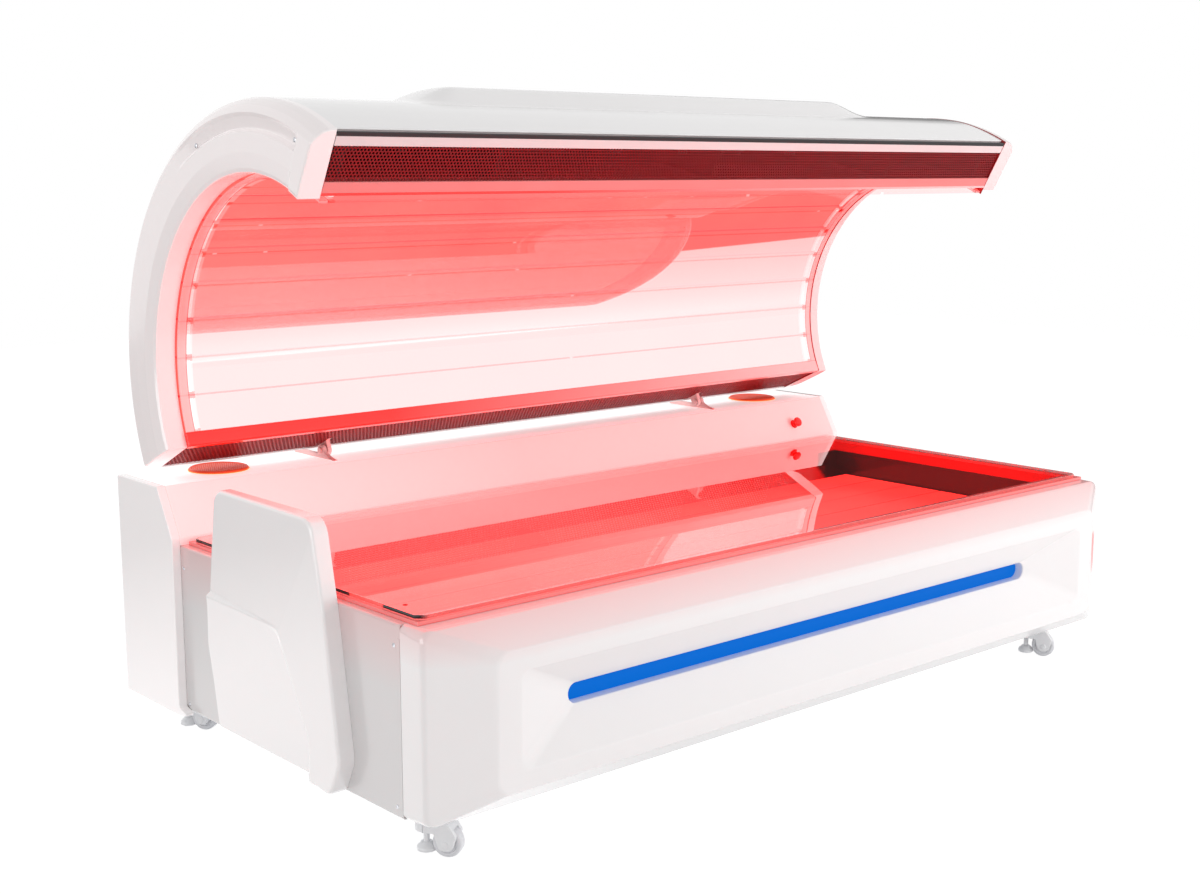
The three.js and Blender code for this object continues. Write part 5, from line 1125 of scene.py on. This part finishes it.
class LIGHTBED_OT_speakers(bpy.types.Operator):
    """Adds the perforated, slightly domed speaker grilles and the amber ring that glows round each."""

    bl_idname = "light_bed.speakers"
    bl_label = "Speakers"

    def execute(self, context):
        pitch, radius, back = sizes()["speaker_pitch"], 62, 1070
        for side, x in (("left", -893), ("right", 893)):
            flat, faces = honeycomb((-63, 63), (-63, 63), pitch, pitch * 0.31)
            reach = np.linalg.norm(flat, axis=1)
            flat = flat * np.minimum(1, radius / np.maximum(reach, 1))[:, None]
            rise = 499.4 + 1.6 * (1 - (np.minimum(reach, radius) / radius) ** 2)
            kept = [face for face in faces if reach[face].min() < radius - 0.1]
            sheet = np.column_stack([flat[:, 0] + x, flat[:, 1] + back, rise])
            piece(f"{side}_speaker_mesh", "base", [(sheet, kept)], speaker_mesh(), (f"{side}_speaker_grille",),
                  wall=0.8)
            rim = [[61, 496], [68, 496], [68, 498.6], [66.6, 501], [64.6, 501.8], [62.4, 501], [61, 499]]
            piece(f"{side}_speaker_rim", "base", [turned(rim, (x, back, 0), count=72)], speaker_mesh())
            glow = [[66.5, 495.9], [70.5, 495.9], [70.5, 497.2], [66.5, 497.2]]
            piece(f"{side}_speaker_light_ring", "base", [turned(glow, (x, back, 0), count=72)], lit_rim())
        return {"FINISHED"}


class LIGHTBED_OT_stop_button(bpy.types.Operator):
    """Adds the red mushroom button and its collar on the console's slope."""

    bl_idname = "light_bed.stop_button"
    bl_label = "Stop Button"

    def execute(self, context):
        seat, out = np.array([926, 927.8, 429.842]), np.array([0, -0.870051, 0.492946])
        collar = [[5.8, -26], [8, -26], [8, 0.3], [12.4, 0.3], [13, 0.8], [13, 1.8], [12.4, 2.3], [10, 2.3],
                  [9.75, 3], [9.75, 8.5], [9.2, 9], [5.8, 9]]
        piece("stop_button_collar", "base", [turned(collar, seat, out, 40)], glossy_button(),
              ("stop_button_socket",))
        turn = steps(10) * math.pi / 2
        dome = np.stack([1.5 + 12.5 * np.cos(turn), 19.3 + 5.5 * np.sin(turn)], 1)
        head = [[0, -4.7], [5.5, -4.7], [5.5, 15.3], [12.5, 15.3], [14, 16.4], *dome, [0, 24.8]]
        piece("stop_button_head", "stop_head", [turned(head, seat, out, 48)], glossy_button(),
              ("stop_button",))
        return {"FINISHED"}


class LIGHTBED_OT_hinges(bpy.types.Operator):
    """Adds the two hinge plates with rounded edges and the pins through them."""

    bl_idname = "light_bed.hinges"
    bl_label = "Hinges"

    def execute(self, context):
        for side in ("left", "right"):
            # Plates and pins are painted pale pink for the lamps' light.
            refined(f"{side}_hinge_plate", f"{side}_hinge_arm", coat_in_painted_lamp_pink(), 2.2, angle=40)
            refined(f"{side}_hinge_pin", f"{side}_hinge_bolt", coat_in_painted_lamp_pink(), 0.6)
        return {"FINISHED"}


# The canopy


def hump_rise(x, angle):
    """Rise of the hump: a product of smooth steps along the canopy's length and round its arc."""
    along = 1 - smooth(np.abs(x), 600, 722)
    return sizes()["hump_height"] * along * (1 - smooth(angle, 92, 100)) * smooth(angle, 66, 80)


class LIGHTBED_OT_canopy_shell(bpy.types.Operator):
    """Adds the canopy's outer shell: an arc of constant radius with the hump added, and a rolled front edge."""

    bl_idname = "light_bed.canopy_shell"
    bl_label = "Canopy Shell"

    def execute(self, context):
        ramp = np.linspace(590, 732, 24)
        half = np.concatenate([np.linspace(0, 580, 12), ramp, np.linspace(760, 1035.7, 8)])
        x = np.concatenate([-half[:0:-1], half])[:, None]
        last = FRONT_ANGLE - math.degrees(math.asin(14 / SHELL_RADIUS))
        angle = np.concatenate([np.linspace(REAR_ANGLE, 64, 60), np.linspace(65, 102, 60), np.linspace(104, last, 12)])
        taper = 2 * smooth(angle, 100, FRONT_ANGLE)
        outer = SHELL_RADIUS - taper + hump_rise(x, angle)

        def skin(radius, angles):
            spots = polar(radius, angles)
            return np.concatenate([np.broadcast_to(x[:, :, None], (*spots.shape[:2], 1)), spots], -1)
        edge = np.array([last + 0.12, last + 0.17, last + 0.12])
        lip = outer[:, -1:] - np.array([0.7, 2.0, 3.3])
        rings = np.concatenate([skin(outer, angle), skin(lip, edge), skin(outer - SHELL_WALL, angle)[:, ::-1]], 1)
        piece("canopy_outer_shell", "canopy", [loft(rings)], moulded_abs(), ("canopy_shell",),
              angle=40)
        return {"FINISHED"}


def cap_section(angle):
    """Section of an end cap as (outwards, radius) points: a bowed face between crests, a groove and a rounded back."""
    groove = 12 * float(smooth(angle, 56, 72) * (1 - smooth(angle, 112.2, 113.4)))
    bowed = 1 - float(smooth(angle, 112.6, 113.8))
    return rounded([
        [0, CAP_INNER, 0], [44 + 5 * (1 - bowed), CAP_INNER - 0.7, 3], [CAP_LENGTH - 5 * bowed, CAP_INNER + 8, 3],
        [CAP_LENGTH - bowed, 456, 30], [CAP_LENGTH, CAP_RIDGE, 2.5], [CAP_LENGTH - groove, CAP_RIDGE + 7, 3],
        [CAP_LENGTH - 0.45 * groove, CAP_RIDGE + 30, 4], [CAP_LENGTH, CAP_RIDGE + 38, 2.5], [CAP_LENGTH - 9, 546, 6],
        [CAP_LENGTH - 21, 556, 12], [16, SHELL_RADIUS, 12], [0, SHELL_RADIUS, 0],
    ], 4)


class LIGHTBED_OT_end_caps(bpy.types.Operator):
    """Adds the two end caps: a section swept round the arc, whose groove runs out before the front block."""

    bl_idname = "light_bed.end_caps"
    bl_label = "End Caps"

    def execute(self, context):
        edge, middle_radius = 3.5, 490
        ends = [(edge * (1 - math.cos(t)), edge * (1 - math.sin(t))) for t in steps(4) * math.pi / 2]
        middle = np.concatenate([np.linspace(REAR_ANGLE + 1, 56, 60), np.linspace(57, 71, 15),
                                 np.linspace(72, 111, 30), np.linspace(111.8, 113.8, 9),
                                 np.linspace(114.5, FRONT_ANGLE - 0.6, 6)])
        plan = [(REAR_ANGLE + math.degrees(along / middle_radius), inwards) for along, inwards in ends]
        plan += [(angle, 0.0) for angle in middle]
        plan += [(FRONT_ANGLE - math.degrees(along / middle_radius), inwards) for along, inwards in reversed(ends)]
        for side, sign in (("left", -1), ("right", 1)):
            rings = []
            for angle, inwards in plan:
                section = inset(cap_section(angle), inwards)
                section[:, 0] = np.maximum(section[:, 0], 0)
                rings.append(np.column_stack([sign * (CAP_X + section[:, 0]), polar(section[:, 1], angle)]))
            # Each cap gets its own painted lamp light: the right one painted pinker, the left one a faint painted glow.
            painted_lamp_light = {"left": (0.08, 0.07), "right": (0.22, 0.0)}[side]
            piece(f"canopy_{side}_cap", "canopy", [loft(rings)], moulded_abs(f" {side} cap", *painted_lamp_light),
                  (f"canopy_{side}_end_cap",), angle=45)
            face = sign * (CAP_X + 45)
            spots = [(face, 756, 1226), (face, 373, 1232)]
            piece(f"canopy_{side}_cap_screws", "canopy", [screw(spot, (sign, 0, 0), 5) for spot in spots],
                  bright_steel())
        return {"FINISHED"}


class LIGHTBED_OT_canopy_liner(bpy.types.Operator):
    """Adds the bent acrylic liner and the pale end blocks of the light rows behind it."""

    bl_idname = "light_bed.canopy_liner"
    bl_label = "Canopy Liner"

    def execute(self, context):
        def arc(radius, count=140):
            start = REAR_ANGLE + math.degrees(math.asin(REAR_SETBACK / radius))
            end = FRONT_ANGLE - math.degrees(math.asin(FRONT_SETBACK / radius))
            return polar(radius, np.linspace(start, end, count))
        outer, inner = 412, 407
        outline = np.concatenate([arc(outer), arc(inner)[::-1]])
        piece("canopy_acrylic_liner", "canopy", [prism("x", outline, -1034, 1034, 0.8, 2)], acrylic_liner(),
              ("canopy_acrylic",))
        first, step = arc_rows()
        blocks = []
        for row in range(CANOPY_ROWS):
            angles = np.linspace(first + step * (row + 0.08), first + step * (row + 0.92), 7)
            shape = np.concatenate([polar(422.5, angles), polar(416.5, angles)[::-1]])
            blocks += [prism("x", shape, x, x + 13, 1, 1) for x in (-1013, 1000)]
        piece("canopy_row_end_blocks", "canopy", blocks, end_block())
        for number in range(1, 7):
            frame["nodes"][f"canopy_light_module_{number}"].data.materials[0] = lamp_board("Lamp board canopy", True)
        return {"FINISHED"}


def against(face_angle, inward, radius, depth, x):
    """Point on one of the canopy's long edges, by its radius and its depth behind the edge's face."""
    outwards = np.array([math.cos(math.radians(face_angle)), math.sin(math.radians(face_angle))])
    turn = math.radians(face_angle + inward * 90)
    behind = np.array([math.cos(turn), math.sin(turn)])
    radius, depth, x = np.broadcast_arrays(radius, depth, x)
    spot = ARC + radius[..., None] * outwards + depth[..., None] * behind
    return np.concatenate([x[..., None], spot], -1)


def front_bar(section):
    """Bar along the canopy's front edge, over its whole length, from a section of [radius, depth] corners."""
    radius, depth = np.transpose(section)
    return loft([against(FRONT_ANGLE, -1, radius, depth, x) for x in (-CANOPY_HALF, CANOPY_HALF)])


class LIGHTBED_OT_canopy_rails(bpy.types.Operator):
    """Adds the folded rails of the canopy's long edges, its seal and gasket, and the red line under the front."""

    bl_idname = "light_bed.canopy_rails"
    bl_label = "Canopy Rails"

    def execute(self, context):
        # The rails' colours hold painted light: grey and pink on the upper rail, pink on the lower one, and a glow and
        # a paler reflection on the back one and the red line.
        refined("canopy_front_upper_rail", "canopy_upper_rail", rail_coat(), 1.2)
        refined("canopy_front_lower_rail", "canopy_lower_rail", rail_in_painted_lamp_pink(), 1.2)
        refined("canopy_rear_rail", "canopy_back_rail", rail_enamel(), 1.2)
        seal = front_bar([[548.6, -0.3], [557.2, -0.3], [557.2, 4], [548.6, 4]])
        piece("canopy_front_seal", "canopy", [seal], black_abs())
        turns = np.linspace(REAR_ANGLE - 0.02, FRONT_ANGLE + 0.04, 160)
        section = [(1034.6, 405.6), (1036.5, 405.6), (1036.5, 561.5), (1034.6, 561.5)]
        rings = [[(x, *polar(radius, turn)) for x, radius in section] for turn in turns]
        piece("canopy_right_gasket", "canopy", [loft(rings)], dark_gasket())
        line = front_bar([[424.4, -0.4], [430, -0.4], [430, 0.4], [424.4, 0.4]])
        piece("canopy_front_red_line", "canopy", [line], rail_enamel())
        return {"FINISHED"}


class LIGHTBED_OT_canopy_grilles(bpy.types.Operator):
    """Adds the perforated grilles between the rails, with holes in staggered rows."""

    bl_idname = "light_bed.canopy_grilles"
    bl_label = "Canopy Grilles"

    def execute(self, context):
        plans = [
            ("front", FRONT_ANGLE, -1, 453.2, 527.4, sizes()["grille_pitch"]),
            ("rear", REAR_ANGLE, 1, 425.4, 555.5, sizes()["rear_grille_pitch"]),
        ]
        for name, angle, inward, inner, outer, pitch in plans:
            flat, faces = honeycomb((-1035.4, 1035.4), (inner, outer), pitch, pitch * 0.36)
            if name == "rear":
                points = flat[np.array(faces)].mean(1)
                near = (np.abs(np.abs(points[:, 0]) - 623) < 7.5) & (points[:, 1] > 501)
                faces = [face for face, gone in zip(faces, near) if not gone]
            sheet = against(angle, inward, flat[:, 1], 3.0, flat[:, 0])
            piece(f"canopy_{name}_mesh", "canopy", [(sheet, faces)], red_mesh(), (f"canopy_{name}_grille",),
                  wall=1.2)
        return {"FINISHED"}


# The casters


class LIGHTBED_OT_casters(bpy.types.Operator):
    """Adds the four levelling casters: fork, wheel with a rounded tread, axle caps and screwed foot."""

    bl_idname = "light_bed.casters"
    bl_label = "Casters"

    def execute(self, context):
        trail, roll = np.array([25.0, -37.0, 0]), np.array([37, 25, 0]) / math.hypot(37, 25)
        round_edge = steps(6) * math.pi / 2
        for corner, x, y in (("front_left", -985, 131), ("front_right", 985, 131),
                             ("rear_left", -985, 1090), ("rear_right", 985, 1090)):
            refined(f"{corner}_caster_fork", f"{corner}_fork", nylon(), 1.6, angle=40)
            hub = np.array([x, y, -82.0]) + trail
            shoulder = np.stack([24.5 + 5 * np.sin(round_edge), 7 + 5 * np.cos(round_edge)], 1)
            half = [[4.3, 0], [4.3, 11.6], [11, 12], [12, 9.5], [20, 9.5], [21, 12], *shoulder, [29.5, 0]]
            profile = half + [[radius, -z] for radius, z in half[::-1]][1:-1]
            piece(f"{corner}_wheel", f"{corner}_wheel", [turned(profile, hub, roll, 56)], tread(),
                  (f"{corner}_caster_wheel",), angle=35)
            caps = [turned([[0, 22.6], [7, 22.6], [7, 24], [5.5, 25.2], [0, 25.6]], hub, roll * sign, 28)
                    for sign in (-1, 1)]
            piece(f"{corner}_axle_caps", f"{corner}_fork", caps, nylon())
            foot = [[0, 0], [17, 0], [19, 1], [19.5, 4], [19.5, 6], [18.4, 9.4], [13, 14.4], [11, 17], [6, 18],
                    [6, 89], [0, 89]]
            piece(f"{corner}_foot_screw", f"{corner}_foot", [turned(foot, (x, y, -103.6), count=40)], nylon(),
                  (f"{corner}_levelling_foot",))
        return {"FINISHED"}


class LIGHTBED_OT_inside_parts(bpy.types.Operator):
    """Gives the frame, the floor pan, the electrics and the fan their finishes; the canopy frame's paint holds painted
    shade and lamp light.
    """

    bl_idname = "light_bed.inside_parts"
    bl_label = "Inside Parts"

    def execute(self, context):
        finishes = {
            "base_frame": zinc(), "base_floor_pan": zinc(), "power_supply_left": mill_aluminium(),
            "power_supply_right": mill_aluminium(), "control_box": powder_coat(), "mains_inlet": black_abs(),
            "exhaust_fan_frame": black_abs(), "exhaust_fan_rotor": black_abs(), "left_speaker_driver": black_abs(),
            "right_speaker_driver": black_abs(), "canopy_frame": frame_paint(),
        }
        for name, material in finishes.items():
            frame["nodes"][name].data.materials[0] = material
        return {"FINISHED"}


class LIGHTBED_PT_panel(bpy.types.Panel):
    """Lists the bed's sizes, colours and pieces."""

    bl_idname = "LIGHTBED_PT_panel"
    bl_label = "Red Light Therapy Bed"
    bl_space_type = "VIEW_3D"
    bl_region_type = "UI"
    bl_category = "Light Bed"

    def draw(self, context):
        column = self.layout.column(align=True)
        for operator in OPERATORS:
            column.operator(operator.bl_idname)
        for group in (context.scene.light_bed_sizes, context.scene.light_bed_colours):
            for key in type(group).__annotations__:
                column.prop(group, key)


OPERATORS = (
    LIGHTBED_OT_stage, LIGHTBED_OT_front_cover, LIGHTBED_OT_front_light, LIGHTBED_OT_side_sheets,
    LIGHTBED_OT_wing, LIGHTBED_OT_console, LIGHTBED_OT_bed, LIGHTBED_OT_speakers, LIGHTBED_OT_stop_button,
    LIGHTBED_OT_hinges, LIGHTBED_OT_canopy_shell, LIGHTBED_OT_end_caps, LIGHTBED_OT_canopy_liner,
    LIGHTBED_OT_canopy_rails, LIGHTBED_OT_canopy_grilles, LIGHTBED_OT_casters, LIGHTBED_OT_inside_parts,
)
CLASSES = (BedSizes, BedColours, *OPERATORS, LIGHTBED_PT_panel)


def register():
    """Registers the classes and adds the two property groups to the scene."""
    for item in CLASSES:
        bpy.utils.register_class(item)
    bpy.types.Scene.light_bed_sizes = PointerProperty(type=BedSizes)
    bpy.types.Scene.light_bed_colours = PointerProperty(type=BedColours)


def unregister():
    """Removes the property groups and the classes, last first."""
    del bpy.types.Scene.light_bed_colours
    del bpy.types.Scene.light_bed_sizes
    for item in reversed(CLASSES):
        bpy.utils.unregister_class(item)


def main():
    """Registers the add-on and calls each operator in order."""
    register()
    for operator in OPERATORS:
        group, name = operator.bl_idname.split(".")
        getattr(getattr(bpy.ops, group), name)()


if __name__ == "__main__":
    main()
